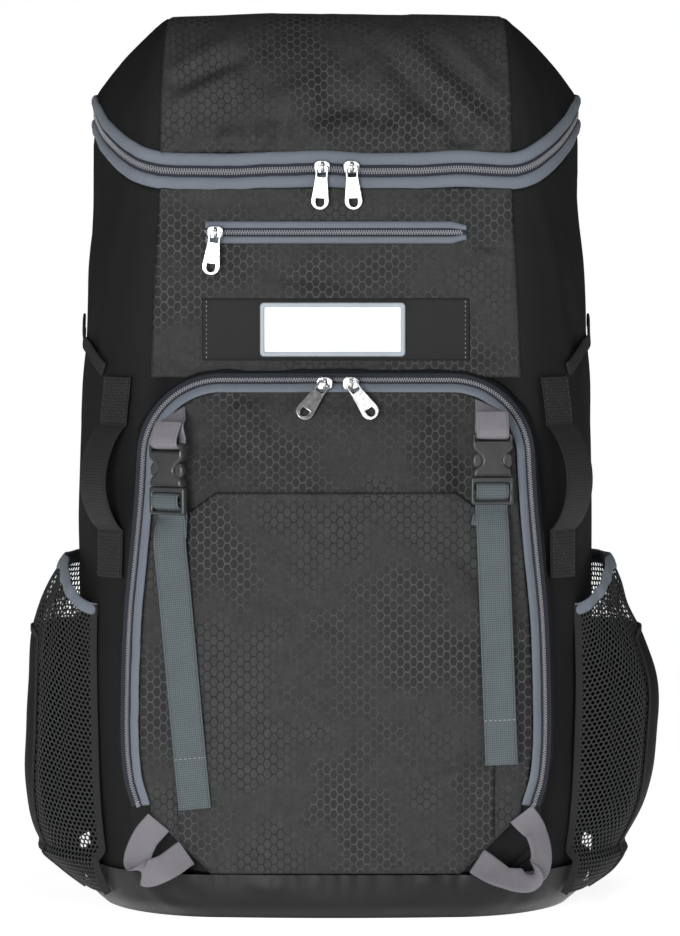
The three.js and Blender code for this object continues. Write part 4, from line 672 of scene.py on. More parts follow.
# Slit pocket: a zip let into the upper front, its coil between two bindings that meet in a point at
# the closed end, the cloth round it pulled in a little.
slit_half, slit_height, slit_tape = 80, 421, 13
trim_near = seam_gap + skin_wall + seam_gap


def on_front(x, z, off):
    """A place on the upper front's cloth, off it by a distance."""
    x, z, off = np.broadcast_arrays(x, z, off)
    depth = body_front_at(x, z) - off - front_relief(x, z)
    return np.stack([x, depth, z], axis=-1)


slit_x = np.linspace(-slit_half, slit_half, 180)
slit_line = on_front(slit_x, np.full_like(slit_x, float(slit_height)), trim_near)
slit_line[:, 1] = np.convolve(np.pad(slit_line[:, 1], 12, "edge"), np.ones(25) / 25, "valid")
slit_up = np.broadcast_to(np.array([0, 0, 1.0]), slit_line.shape)
slit_out = np.broadcast_to(np.array([0, -1.0, 0]), slit_line.shape)
slit_pinch = 1 - 0.35 * ease((slit_x - slit_half + 10) / 10)[:, None]
slit_profile = np.array([(3.0, 0.0), (3.1, 0.7), (3.8, 1.25), (4.8, 1.35), (5.8, 0.9), (6.4, 0.0)])
for name, side in (("slit_upper_binding", 1), ("slit_lower_binding", -1)):
    strip = along_run(slit_line, slit_up * slit_pinch, slit_out, slit_profile * np.array([side, 1]))
    binding = cloth_piece(name, strip, flip=side > 0, wall=0.6)
    place_piece(binding, zip_tape, "zip_tape", "slit_zip_tape")
slit_ground = cloth_piece("slit_zip_ground", along_run(slit_line, slit_up * slit_pinch, slit_out, [(-3.4, 0.3), (0, 0.4), (3.4, 0.3)]), flip=True, wall=0.4)
place_piece(slit_ground, zip_ground, "zip_coil", "slit_zip_coil")
slit_teeth = teeth_piece("slit_zip_teeth", slit_line[:-4] + slit_out[:-4] * 0.4, slit_out[:-4], 5.2, 1.5, 0.8)
place_piece(slit_teeth, zip_nylon, "zip_coil")

# Label patch: a band of plain cloth with its edges folded under, sewn down at both ends, and on it
# a moulded label in a pale frame, left bare.
patch_half, patch_height, patch_tall = 82, 361.5, 38
label_middle, label_half, label_tall, label_frame, label_wall = -2, 44.5, 33, 3, 1.6


def front_patch(name, x0, x1, z0, z1, off, edge, wall, columns=90, rows=26):
    """A rectangle lying on the upper front, its edges rounded down over a width."""
    u, v = np.linspace(0, 1, columns)[None, :], np.linspace(0, 1, rows)[:, None]
    x, z = x0 + (x1 - x0) * u + 0 * v, z0 + (z1 - z0) * v + 0 * u
    inside = np.minimum(np.minimum(x - x0, x1 - x), np.minimum(z - z0, z1 - z))
    lift = off - wall * (1 - ease(inside / edge))
    places = on_front(x, z, lift)
    return places, np.stack([x, z], axis=-1)


patch_x = np.concatenate([[-patch_half, -patch_half + 0.5], np.linspace(-patch_half + 1.2, patch_half - 1.2, 90), [patch_half - 0.5, patch_half]])
patch_z = patch_height + patch_tall / 2 * np.concatenate([[-1, -0.97], np.linspace(-0.93, 0.93, 22), [0.97, 1]])
patch_x, patch_z = np.meshgrid(patch_x, patch_z)
patch_inside = np.minimum(patch_half - np.abs(patch_x), patch_tall / 2 - np.abs(patch_z - patch_height))
patch_wave = 0.35 * soft_noise(patch_x, patch_z, 26, 41) + 0.5 * ease((patch_tall / 2 - np.abs(patch_z - patch_height)) / 8)
patch_places = on_front(patch_x, patch_z, trim_near + 1.0 * ease(patch_inside / 1.2) + patch_wave)
patch_cloth = cloth_material("patch_cloth", (0.024, 0.024, 0.0245), 0.0008, roughness=0.8, sheen=0.0, bump=0.4)
patch = cloth_piece("label_patch_cloth", patch_places, uv=np.stack([patch_x, patch_z], axis=-1), wall=0.8)
place_piece(patch, patch_cloth, "plain_cloth", "label_patch")


def stitch_row(name, places, out, pitch=3.2, length=2.0, thick=0.55, ride="bag", colour_slot="plain_cloth", material=None):
    """A row of stitches: small six-sided spindles laid end to end along a path on the cloth."""
    stations = even_path(places, pitch)
    guide = np.stack([np.interp(np.linspace(0, 1, len(stations)), np.linspace(0, 1, len(out)), out[:, k]) for k in range(3)], axis=-1)
    direction, across, lifted = path_frames(stations, guide)
    turn = np.arange(6) * np.pi / 3
    rings = [(-0.5, 0.35), (-0.3, 1.0), (0.3, 1.0), (0.5, 0.35)]
    spindle = np.array([(along * length, np.cos(t) * r * thick / 2, np.sin(t) * r * thick / 2) for along, r in rings for t in turn])
    spot = (stations[:, None] + direction[:, None] * spindle[None, :, 0, None] + across[:, None] * spindle[None, :, 1, None]
            + lifted[:, None] * spindle[None, :, 2, None])
    one = [(6 * k + i, 6 * k + (i + 1) % 6, 6 * k + 6 + (i + 1) % 6, 6 * k + 6 + i) for k in range(3) for i in range(6)]
    one += [(5, 4, 3, 2, 1, 0), (18, 19, 20, 21, 22, 23)]
    faces = [tuple(i + 24 * k for i in face) for k in range(len(stations)) for face in one]
    mesh = bpy.data.meshes.new(name)
    mesh.from_pydata((spot.reshape(-1, 3) * mm).tolist(), [], faces)
    piece = bpy.data.objects.new(name, mesh)
    bpy.context.scene.collection.objects.link(piece)
    place_piece(piece, material or pale_thread, colour_slot, body=ride)
    return piece


def thread_material(name, colour):
    """Sewing thread: twisted, so a fine slanting ripple runs along it."""
    material = bpy.data.materials.new(name)
    material.use_nodes = True
    tree = material.node_tree
    shader = tree.nodes["Principled BSDF"]
    place = add_node(tree, "ShaderNodeTexCoord").outputs["Object"]
    twist = add_node(tree, "ShaderNodeTexWave", {"bands_direction": "DIAGONAL"}, Vector=place, Scale=900.0, Distortion=1.0)
    shade = add_node(tree, "ShaderNodeMix", {"data_type": "RGBA"}, Factor=twist.outputs["Fac"],
                     in6=tuple(c * 0.6 for c in colour) + (1,), in7=tuple(colour) + (1,))
    tree.links.new(shade.outputs[2], shader.inputs["Base Color"])
    shader.inputs["Roughness"].default_value = 0.7
    return material


pale_thread = thread_material("pale_thread", (0.32, 0.32, 0.34))
dark_thread = thread_material("dark_thread", (0.03, 0.03, 0.032))
out_front = np.array([[0, -1.0, 0]])
for name, x in (("left", -patch_half + 2.6), ("right", patch_half - 2.6)):
    seam_z = np.linspace(patch_height - patch_tall / 2 + 2, patch_height + patch_tall / 2 - 2, 40)
    seam = on_front(np.full_like(seam_z, x), seam_z, trim_near + 1.35 + 0.35 * soft_noise(x + 0 * seam_z, seam_z, 26, 41))
    stitch_row(f"patch_stitches_{name}", seam, np.repeat(out_front, 40, 0), pitch=2.6, length=1.3, thick=0.5)


def rounded_frame(half, tall, corner, count=12):
    """Outline of a rectangle with rounded corners, anticlockwise from its lower right."""
    turns = [np.linspace(-np.pi / 2, 0, count), np.linspace(0, np.pi / 2, count),
             np.linspace(np.pi / 2, np.pi, count), np.linspace(np.pi, 1.5 * np.pi, count)]
    middles = [(1, -1), (1, 1), (-1, 1), (-1, -1)]
    return np.concatenate([np.stack([sx * (half - corner) + corner * np.cos(t), sz * (tall - corner) + corner * np.sin(t)], axis=-1)
                           for t, (sx, sz) in zip(turns, middles)])


label_plastic = plastic_material("label_plastic", (0.66, 0.675, 0.70), 0.5, 2500.0)
label_edge = plastic_material("label_edge", (0.30, 0.335, 0.37), 0.5, 2500.0)
label_tilt = np.polyfit([-40, 40], [front_relief(np.array([-40.0]), np.array([patch_height]))[0], front_relief(np.array([40.0]), np.array([patch_height]))[0]], 1)


def label_place(outline, off):
    """Places of an outline on the label's own even face, which bridges the cloth's small swells."""
    x, z = label_middle + outline[..., 0], patch_height + outline[..., 1]
    even = np.polyval(label_tilt, x)
    return np.stack([x, body_front_at(x, z) - off - even, z], axis=-1)


label_near = trim_near + 1.0 + 0.85
frame_rows = [(0.0, 0.0), (0.0, 1.0), (0.35, 1.45), (1.0, 1.6), (2.1, 1.6), (2.5, 1.45), (2.7, 0.7)]
frame_outline = [label_place(rounded_frame(label_half - inset, label_tall / 2 - inset, 2.4 - inset * 0.6), label_near + lift) for inset, lift in frame_rows]
label_rim = cloth_piece("label_frame_moulded", np.stack(frame_outline), ring=True, flip=True, wall=0.0)
place_piece(label_rim, label_edge, "label_edge", "label_frame")
face_rows = [label_place(rounded_frame((label_half - 2.6) * s, (label_tall / 2 - 2.6) * s, 1.2 * s), label_near + 0.75) for s in (1.0, 0.97, 0.8, 0.5, 0.2)]
label_card = cloth_piece("label_face_moulded", np.stack(face_rows), ring=True, pole=True, flip=True)
place_piece(label_card, label_plastic, "label", "label_face")

# Front compartment: a second, flat box of plain cloth that stands in front of the body, with a
# gusset all round and the zip near its front edge.
compartment_depth, compartment_margin, compartment_drop, face_gap = 124, 6, 5, 0.9
u_zip_top, u_zip_half, u_zip_corner, u_zip_band, u_zip_foot, chamfer_foot = 329, 126, 46, 10.5, 70, 77
face_rows_table = {
    "height": (0.08, 0.14, 0.25, 0.45, 0.7, 0.85, 0.94, 1.0),
    "edge": (0.85, 0.86, 0.865, 0.86, 0.855, 0.84, 0.815, 0.775),
    "crown": (0.04, 0.07, 0.11, 0.14, 0.12, 0.08, 0.04, 0.02),
}
u_zip_rows = {
    "height": (0.08, 0.21, 0.26, 0.33, 0.45, 0.57, 0.69, 0.8, 1.0),
    "half": (0.9, 0.945, 0.982, 1.0, 0.998, 0.985, 0.955, 0.93, 0.905),
}


def u_zip_half_at(z):
    """Half width of the U zip's middle line: the table up the side, then the corner's arc."""
    bend = u_zip_top - u_zip_corner
    side = smooth_table(u_zip_rows, "half", z / u_zip_top) * u_zip_half
    corner = smooth_table(u_zip_rows, "half", np.array(bend / u_zip_top)) * u_zip_half
    rise = np.clip(z - bend, 0, u_zip_corner)
    arc = corner - u_zip_corner + np.sqrt(u_zip_corner**2 - rise**2)
    return np.where(z <= bend, side, arc)


chamfer_top_half = float(u_zip_half_at(np.array(float(u_zip_foot))))


def chamfer_half_at(z):
    """Half width of the face between its cut corners, on a straight line from boot to zip foot."""
    return chamfer_foot + (chamfer_top_half - chamfer_foot) * (z - boot_height) / (u_zip_foot - boot_height)


def face_depth_at(x, z):
    """Depth of the compartment's face: an edge depth and a crown across it, cut back at the corners."""
    height = z / compartment_top
    edge = smooth_table(face_rows_table, "edge", height) * compartment_depth
    rise = smooth_table(face_rows_table, "crown", height) * compartment_depth
    half = smooth_table(u_zip_rows, "half", z / u_zip_top) * u_zip_half
    share = np.minimum(np.abs(x) / half, 1.05)
    cut = np.where(z < u_zip_foot, np.maximum(np.abs(x) - chamfer_half_at(z), 0) * 0.75, 0)
    return -(edge + rise * (1 - share**3) - cut)


def u_zip_line(side_count=120, corner_count=60, top_count=120):
    """The zip's middle line in X and Z, from its left foot over the top to its right foot."""
    bend = u_zip_top - u_zip_corner
    side_z = np.linspace(u_zip_foot, bend, side_count)
    angle = np.linspace(0, np.pi / 2, corner_count)[1:]
    corner_z = bend + u_zip_corner * np.sin(angle)
    z = np.concatenate([side_z, corner_z])
    x = u_zip_half_at(z)
    top_x = np.linspace(x[-1], 0, top_count // 2)[1:]
    right = np.concatenate([np.stack([x, z], -1), np.stack([top_x, np.full_like(top_x, u_zip_top)], -1)])
    left = right * np.array([-1, 1])
    return np.concatenate([left, right[::-1][1:]])


def beside_line(line, sideways):
    """A line in X and Z moved sideways: outwards from the compartment for a positive distance."""
    direction = np.gradient(line, axis=0)
    direction /= np.linalg.norm(direction, axis=-1, keepdims=True)
    return line + np.stack([-direction[:, 1], direction[:, 0]], axis=-1) * sideways


face_folds = [
    (-88, 314, -78, 262, 9, -2.8), (-84, 300, -52, 284, 7, -2.6), (-60, 318, -44, 290, 8, 2.0),
    (84, 306, 74, 258, 9, -2.8), (78, 292, 44, 280, 7, -2.4), (52, 316, 38, 286, 8, 1.8), (-40, 312, 30, 306, 7, 0.9), (-60, 284, 40, 288, 9, -0.8),
    (-70, 214, 10, 176, 9, -1.2), (10, 176, 80, 206, 9, -1.1), (-75, 150, -5, 205, 11, 1.0),
    (20, 165, 84, 235, 12, 1.1), (52, 92, 100, 104, 4, -2.4), (48, 86, 92, 98, 5, 1.6),
    (-80, 104, 20, 84, 13, 1.1), (-30, 60, 60, 74, 12, -0.9), (-96, 120, -60, 60, 9, 1.1),
    (60, 70, 96, 130, 9, 1.0), (-10, 140, 10, 90, 16, 1.2), (70, 232, 96, 196, 6, -1.6),
]


def face_relief(x, z):
    """How far the compartment's filled face stands off its even form: swells, folds and gathers."""
    edge = np.minimum(u_zip_half_at(z) - 8 - np.abs(x), u_zip_top - 8 - z)
    edge = np.where(z < u_zip_foot, np.minimum(edge, chamfer_half_at(z) - np.abs(x)), edge)
    swell = 0.8 * soft_noise(x, z, 46, 51) + 0.45 * soft_noise(x, z, 21, 52)
    gathers = puckers(edge, np.where(u_zip_top - 8 - z < u_zip_half_at(z) - 8 - np.abs(x), x, z), 53, 0.7, 12, 7)
    return (swell + folds(x, z, face_folds) + gathers) * ease(edge / 8 + 0.15) * ease((z - boot_height) / 8)


def on_face(x, z, off, relief=1.0):
    """A place on the compartment's face, off it by a distance."""
    x, z, off = np.broadcast_arrays(x, z, off)
    return np.stack([x, face_depth_at(x, z) - off - relief * face_relief(x, z), z], axis=-1)


def tray_outline(sideways, inset):
    """The compartment's outline seen from the front: beside the zip and round the foot."""
    foot = boot_height + seam_gap + inset
    upper = beside_line(u_zip_line(), sideways)
    corner = np.array([(0.62, 1.0), (0.22, 0.98), (0.0, 0.88)])
    corner_z = foot + (u_zip_foot - foot) * corner[:, 0]
    corner_x = (chamfer_top_half + sideways) * corner[:, 1]
    turn = np.stack([np.concatenate([corner_x, [chamfer_foot * 0.6]]), np.concatenate([corner_z, [foot]])], -1)
    bottom = even_path(np.concatenate([turn * [1, 1], [[0, foot]], turn[::-1] * [-1, 1]])[:, [0, 1, 1]], 2.5)[:, :2]
    count = 170
    run = np.concatenate([[0], np.cumsum(np.linalg.norm(np.diff(bottom, axis=0), axis=-1))])
    stations = np.linspace(0, run[-1], count)
    bottom = np.stack([np.interp(stations, run, bottom[:, k]) for k in range(2)], -1)
    return np.concatenate([upper, bottom])


tray_edge, tray_inside = tray_outline(compartment_margin, 0), tray_outline(-u_zip_band / 2 - seam_gap, 2)
tray_rear = np.stack([tray_edge[:, 0], body_front_at(tray_edge[:, 0], tray_edge[:, 1]) - 0.5, tray_edge[:, 1]], -1)
tray_front = np.stack([tray_edge[:, 0], face_depth_at(tray_edge[:, 0], tray_edge[:, 1]) + compartment_drop, tray_edge[:, 1]], -1)
tray_near = np.stack([tray_inside[:, 0], face_depth_at(tray_inside[:, 0], tray_inside[:, 1]), tray_inside[:, 1]], -1)
tray_run = np.cumsum(np.concatenate([[0], np.linalg.norm(np.diff(tray_edge, axis=0), axis=-1)]))
tray_wave = soft_noise(tray_run, tray_run * 0, 16, 61) + 0.5 * soft_noise(tray_run, tray_run * 0, 7, 62)
outward_edge = np.concatenate([tray_edge[1:], tray_edge[:1]]) - np.concatenate([tray_edge[-1:], tray_edge[:-1]])
outward_edge = np.stack([-outward_edge[:, 1], outward_edge[:, 0] * 0, outward_edge[:, 0]], -1)
outward_edge /= np.maximum(np.linalg.norm(outward_edge, axis=-1, keepdims=True), 1e-6)
tray_rows = []
for share in np.linspace(0, 1, 12):
    swell = np.sin(np.pi * share) * (1.6 + 0.9 * tray_wave)[:, None] * outward_edge
    tray_rows.append(tray_rear + (tray_front - tray_rear) * share + swell)
for share in np.linspace(0.15, 1, 6):
    rounding = np.array([0, -0.8, 0]) * np.sin(np.pi * share)
    tray_rows.append(tray_front + (tray_near - tray_front) * share + rounding)
tray_middle = np.array([0, 0, 175.0])
for share in (0.9, 0.6, 0.3):
    shrunk_x, shrunk_z = tray_near[:, 0] * share, 175 + (tray_near[:, 2] - 175) * share
    tray_rows.append(np.stack([shrunk_x, face_depth_at(shrunk_x, shrunk_z) + 3.0, shrunk_z], -1))
tray = cloth_piece("front_compartment_cloth", np.stack(tray_rows), ring=True, pole=True, flip=True, wall=1.4)
place_piece(tray, plain_cloth, "plain_cloth", "front_compartment")

# Face of the compartment: honeycomb cloth held inside the zip, gathered along it and pushed out by
# what is packed behind it.
face_top = u_zip_top - u_zip_band / 2 - seam_gap
face_up = np.concatenate([np.linspace(0, 0.84, 90), 0.84 + 0.16 * np.sin(np.linspace(0, np.pi / 2, 40))[1:]])[:, None]
face_z = boot_height + 1 + (face_top - boot_height - 1) * face_up
inside_line = beside_line(u_zip_line(), -u_zip_band / 2 - seam_gap)
inside_right = inside_line[len(inside_line) // 2 :][::-1]
order = np.argsort(inside_right[:, 1])
inside_half = np.interp(face_z, inside_right[order, 1], inside_right[order, 0])
face_half = np.where(face_z < u_zip_foot, np.minimum(chamfer_half_at(face_z) - 1, inside_half), inside_half) - seam_gap
face_share = np.linspace(-1, 1, 126)[None, :]
face_x = face_share * face_half
face_edge = 1 - ease((face_half - np.abs(face_x)) / 2.4)
face_places = on_face(face_x, face_z + 0 * face_x, face_gap + skin_wall - face_edge * 0.7)
face_panel = cloth_piece("face_panel_cloth", face_places, uv=np.stack([face_x, face_z + 0 * face_x], -1), wall=skin_wall)
place_piece(face_panel, honeycomb, "honeycomb_cloth", "face_panel")

# Slip pocket: an eight-sided sheet of the same honeycomb cloth on the face, its top edge open and
# folded over, its sides and slanted corners sewn down, its foot caught under the boot.
slip_top, slip_half, slip_top_half, slip_chamfer, slip_proud = 263, 97, 73, 17, 1.6


def slip_half_at(z):
    """Half width of the slip pocket: its slanted top corners, its sides and the chamfers below."""
    top = slip_top_half + (slip_half - slip_top_half) * (slip_top - z) / slip_chamfer
    return np.where(z > slip_top - slip_chamfer, top, np.minimum(slip_half, chamfer_half_at(z) - 3))


slip_up = np.concatenate([np.linspace(0, 0.92, 92), np.linspace(0.93, 1, 12)])[:, None]
slip_z = boot_height + 1.5 + (slip_top - boot_height - 1.5) * slip_up
slip_share = np.linspace(-1, 1, 126)[None, :]
slip_x = slip_share * slip_half_at(slip_z)
slip_z = slip_z + 0 * slip_x
slip_inside = np.minimum(slip_half_at(slip_z) - np.abs(slip_x), 60)
slip_swell = slip_proud * (1 - slip_share**4) * np.sin(np.pi * slip_up) ** 0.5
slip_hem = 0.9 * np.exp(-(((slip_z - slip_top + 1.6) / 1.6) ** 2))
slip_lift = face_gap + skin_wall + face_gap + slip_swell + slip_hem + 0.9 * ease(slip_inside / 1.6)
slip_places = on_face(slip_x, slip_z, slip_lift)
slip_pocket = cloth_piece("slip_pocket_cloth", slip_places, uv=np.stack([slip_x + 1.3, slip_z + 2.1], -1), wall=0.8)
honeycomb_slip = honeycomb_material("honeycomb_slip", seed=0.37)
place_piece(slip_pocket, honeycomb_slip, "honeycomb_cloth", "slip_pocket")

# The U zip: a coil on its dark tape outside, and inside it a folded grey binding that covers the
# raw edge of the face. Both run up one side, over the top and down the other.
u_line = u_zip_line()
u_zip_proud = 1.8


def on_u_zip(sideways, off):
    """A place beside the zip's middle line, on the slope between the tray's edge and its inner line."""
    low = -u_zip_band / 2 - seam_gap
    share = np.reshape((sideways - low) / (compartment_margin - low), (-1, 1))
    inner, outer = beside_line(u_line, low), beside_line(u_line, compartment_margin)
    inner = np.stack([inner[:, 0], face_depth_at(inner[:, 0], inner[:, 1]), inner[:, 1]], -1)
    outer = np.stack([outer[:, 0], face_depth_at(outer[:, 0], outer[:, 1]) + compartment_drop, outer[:, 1]], -1)
    place = inner + (outer - inner) * share
    place[:, 1] -= face_gap * 1.3 + off
    return place


u_run = np.cumsum(np.concatenate([[0], np.linalg.norm(np.diff(u_line, axis=0), axis=-1)]))
u_wave = 0.4 * soft_noise(u_run, u_run * 0, 11, 71) + 0.25 * soft_noise(u_run, u_run * 0, 5, 72)
u_binding_rows = [(-5.6, -0.4), (-5.5, 0.9), (-4.8, 1.7), (-3.4, 2.1), (-1.9, 2.0), (-0.9, 1.4), (-0.4, 0.6), (-0.3, -0.4)]
u_binding = cloth_piece("u_zip_binding_cloth", np.stack([on_u_zip(s + 0.25 * u_wave, o + (u_wave if o > 0 else 0)) for s, o in u_binding_rows]), wall=0.6)
place_piece(u_binding, zip_tape, "zip_tape", "u_zip_binding")
u_tape_rows = [(-0.2, 0.2), (0.6, 0.6), (2.6, 0.7), (4.2, 0.9), (5.2, 1.3), (5.8, 0.9), (5.9, -0.8)]
u_tape = cloth_piece("u_zip_tape_cloth", np.stack([on_u_zip(s, o) for s, o in u_tape_rows]), wall=0.5)
place_piece(u_tape, zip_ground, "zip_coil", "u_zip_coil")
u_coil_line = on_u_zip(1.9, 0.7)
u_out = np.broadcast_to(np.array([0, -1.0, 0]), u_coil_line.shape)
u_teeth = teeth_piece("u_zip_teeth", u_coil_line, u_out, 4.6, 1.5, 0.8)
place_piece(u_teeth, zip_nylon, "zip_coil")

# Sliders and pulls: nickel-plated die castings. A shield-shaped body rides the coil, a bent bar over
# it holds the pull, and each pull is a flared tab with a D-shaped window, hinged in that bar.
hoop_inner, hoop_wire, hoop_width, pull_wall = 2.0, 1.2, 1.8, 1.4
pull_length, pull_width, pull_neck, pull_eye = 27, 11, 7.6, 5.4


def metal_material(name, colour, roughness):
    """Plated metal: its roughness wanders with handling marks, and fine scratches lie in its bump."""
    material = bpy.data.materials.new(name)
    material.use_nodes = True
    tree = material.node_tree
    shader = tree.nodes["Principled BSDF"]
    place = add_node(tree, "ShaderNodeTexCoord").outputs["Object"]
    marks = add_node(tree, "ShaderNodeTexNoise", Vector=place, Scale=420.0, Detail=4.0, Roughness=0.6)
    stretched = add_node(tree, "ShaderNodeVectorMath", {"operation": "MULTIPLY"}, in0=place, in1=(9000.0, 9000.0, 500.0))
    scratches = add_node(tree, "ShaderNodeTexNoise", Vector=stretched.outputs[0], Scale=1.0, Detail=2.0)
    shade = add_node(tree, "ShaderNodeMix", {"data_type": "RGBA"}, Factor=marks.outputs["Fac"],
                     in6=tuple(c * 0.8 for c in colour) + (1,), in7=tuple(min(c * 1.15, 1) for c in colour) + (1,))
    tree.links.new(shade.outputs[2], shader.inputs["Base Color"])
    gloss = maths(tree, "MULTIPLY_ADD", marks.outputs["Fac"], 0.2, roughness - 0.1)
    tree.links.new(gloss, shader.inputs["Roughness"])
    relief = add_node(tree, "ShaderNodeBump", Height=scratches.outputs["Fac"], Strength=0.08, Distance=0.0001)
    tree.links.new(relief.outputs["Normal"], shader.inputs["Normal"])
    shader.inputs["Metallic"].default_value = 1.0
    return material


nickel = metal_material("nickel", (0.52, 0.52, 0.53), 0.3)


def turned_axes(lean=0.0, tilt=0.0, turn=0.0):
    """A turned frame's matrix: tilt about X, then lean about Y, then turn about Z, in radians."""
    cx, sx, cy, sy, cz, sz = np.cos(tilt), np.sin(tilt), np.cos(lean), np.sin(lean), np.cos(turn), np.sin(turn)
    about_x = np.array([[1, 0, 0], [0, cx, -sx], [0, sx, cx]])
    about_y = np.array([[cy, 0, sy], [0, 1, 0], [-sy, 0, cy]])
    about_z = np.array([[cz, -sz, 0], [sz, cz, 0], [0, 0, 1]])
    return about_z @ about_y @ about_x


def plate_piece(name, outlines, thickness, rounding, hub, axes=np.eye(3), at_depth=0.0):
    """A moulded or cast plate: closed outlines in its own X and Z, the first its edge and the rest
    its holes, thickened evenly about at_depth and rounded, then turned and moved to its hub."""
    flat = bpy.data.curves.new(name, "CURVE")
    flat.dimensions, flat.fill_mode = "2D", "BOTH"
    flat.extrude, flat.bevel_depth, flat.bevel_resolution = max(thickness / 2 - rounding, 0.01) * mm, rounding * mm, 2
    flat.offset = -rounding * mm
    for outline in outlines:
        spline = flat.splines.new("POLY")
        spline.points.add(len(outline) - 1)
        corners = np.concatenate([np.asarray(outline) * mm, np.zeros((len(outline), 1)), np.ones((len(outline), 1))], axis=1)
        spline.points.foreach_set("co", corners.ravel())
        spline.use_cyclic_u = True
    maker = bpy.data.objects.new(name + "_outline", flat)
    bpy.context.scene.collection.objects.link(maker)
    mesh = bpy.data.meshes.new_from_object(maker.evaluated_get(bpy.context.evaluated_depsgraph_get()))
    bpy.data.objects.remove(maker)
    places = np.empty(len(mesh.vertices) * 3)
    mesh.vertices.foreach_get("co", places)
    places = places.reshape(-1, 3)[:, [0, 2, 1]] * np.array([1, -1, 1]) + np.array([0, at_depth * mm, 0])
    mesh.vertices.foreach_set("co", (places @ np.asarray(axes).T + np.asarray(hub) * mm).ravel())
    mesh.name = name
    mesh.shade_smooth()
    mesh.set_sharp_from_angle(angle=0.7)
    piece = bpy.data.objects.new(name, mesh)
    bpy.context.scene.collection.objects.link(piece)
    return piece


def arc(x, z, radius, start, end, count=9):
    """Points on an arc about (x, z), angles in radians."""
    angle = np.linspace(start, end, count)
    return np.stack([x + radius * np.cos(angle), z + radius * np.sin(angle)], axis=-1)


def rounded_box(x0, z0, x1, z1, corner, count=5):
    """A rectangle's outline with rounded corners."""
    quarter = np.pi / 2
    return np.concatenate([arc(x1 - corner, z0 + corner, corner, -quarter, 0, count), arc(x1 - corner, z1 - corner, corner, 0, quarter, count),
                           arc(x0 + corner, z1 - corner, corner, quarter, 2 * quarter, count),
                           arc(x0 + corner, z0 + corner, corner, 2 * quarter, 3 * quarter, count)])


def band_piece(name, run, width, wall, wave=0.0, seed=0, crown=0.0, square=8, slant=0.0):
    """A flat band along a run of places with its sideways and outward directions. Its section is a
    closed ring of points, half as deep as the root of 1 less s to the power of square, its ends
    closed and the first cut at a slant."""
    place, across, out = run
    share = np.sin(np.linspace(-1, 1, 11) * np.pi / 2)
    depth = np.sqrt(np.clip(1 - np.abs(share) ** square, 0, 1)) * wall / 2
    s = np.concatenate([share, share[-2:0:-1]])
    d = np.concatenate([depth, -depth[-2:0:-1]])
    length = np.concatenate([[0], np.cumsum(np.linalg.norm(np.diff(place, axis=0), axis=-1))])
    ripple = wave * soft_noise(s[None, :] * width * 0.4, length[:, None], 13, seed) + crown * (1 - s[None, :] ** 2)
    grid = place[:, None] + across[:, None] * (s * width / 2)[None, :, None] + out[:, None] * (d[None, :] + ripple)[..., None]
    grid[..., 2] += slant * s[None, :] * width / 2 * np.exp(-length[:, None] / 9)
    u = np.append(s * width / 2, s[0] * width / 2)
    uv = np.stack(np.broadcast_arrays(u[None, :], length[:, None]), axis=-1)
    return cloth_piece(name, grid, uv=uv, ring=True, pole=True, cap=True, flip=True)


slider_body = np.array([(5, 1.8), (5, -1.8), (4.4, -2.9), (2.6, -3.6), (-2.6, -4), (-4.2, -3.4), (-5, -1.6), (-5, 1.6), (-4.2, 3.4), (-2.6, 4), (2.6, 3.6), (4.4, 2.9)])
pull_foot, pull_round = -pull_length + 0.8, pull_width / 2
pull_outline = np.concatenate([[(2.8, 0.8), (-2.8, 0.8), (-3.5, 0.4), (-3.8, -0.2), (-3.8, -6.6), (-4.0, -8.4)],
                               arc(0, pull_foot + pull_round, pull_round, np.pi, 2 * np.pi, 15), [(4.0, -8.4), (3.8, -6.6), (3.8, -0.2), (3.5, 0.4)]])
pull_eye_outline = rounded_box(-2.6, -6.2, 2.6, -0.8, 0.9)
pull_window = np.concatenate([[(-2.6, pull_foot + pull_round + 1.4), (2.6, pull_foot + pull_round + 1.4)],
                              arc(0, pull_foot + pull_round - 1.2, 2.6, 0, -np.pi, 9)])
sliders = [
    ("lid_slider_left", "lid_pull_left", (-8.5, -92.19, 461), 0.06, 0.0),
    ("lid_slider_right", "lid_pull_right", (9.5, -92.183, 461), -0.06, 0.0),
    ("slit_slider", "slit_pull", (-74, -94.948, 421), 0.12, 0.0),
    ("u_slider_left", "u_pull_left", (-7, -110.001, 329), 0.62, 0.22),
    ("u_slider_right", "u_pull_right", (9, -110.001, 329), -0.62, 0.22),
]
for slider_node, pull_node, hub, lean, tilt in sliders:
    cast = plate_piece(f"{slider_node}_body", [slider_body], 3.0, 0.7, hub, at_depth=4.1)
    place_piece(cast, nickel, "metal", slider_node)
    bend = np.linspace(-0.02, 1.02, 25) * np.pi
    middle = hoop_inner + hoop_wire / 2
    bar_path = np.stack([np.full(25, hub[0]), hub[1] - middle * np.sin(bend), hub[2] - middle * np.cos(bend)], axis=-1)
    legs = np.array([(hub[0], hub[1] + 2.7, hub[2] - middle), (hub[0], hub[1] + 1.2, hub[2] - middle)])
    bar_path = np.concatenate([legs, bar_path, (legs * [1, 1, -1] + [0, 0, 2 * hub[2]])[::-1]])
    bar_out = bar_path - np.array(hub)
    bar_out[:2, 1] = bar_out[-2:, 1] = 0
    bar_out /= np.linalg.norm(bar_out, axis=-1, keepdims=True)
    bar = band_piece(f"{slider_node}_bar", (bar_path, np.tile([1.0, 0, 0], (len(bar_path), 1)), bar_out), hoop_width, hoop_wire)
    place_piece(bar, nickel, "metal")
    tab = plate_piece(f"{pull_node}_tab", [pull_outline, pull_eye_outline, pull_window], pull_wall, 0.35, hub, turned_axes(lean, -tilt))
    place_piece(tab, nickel, "metal", pull_node, body=pull_node)

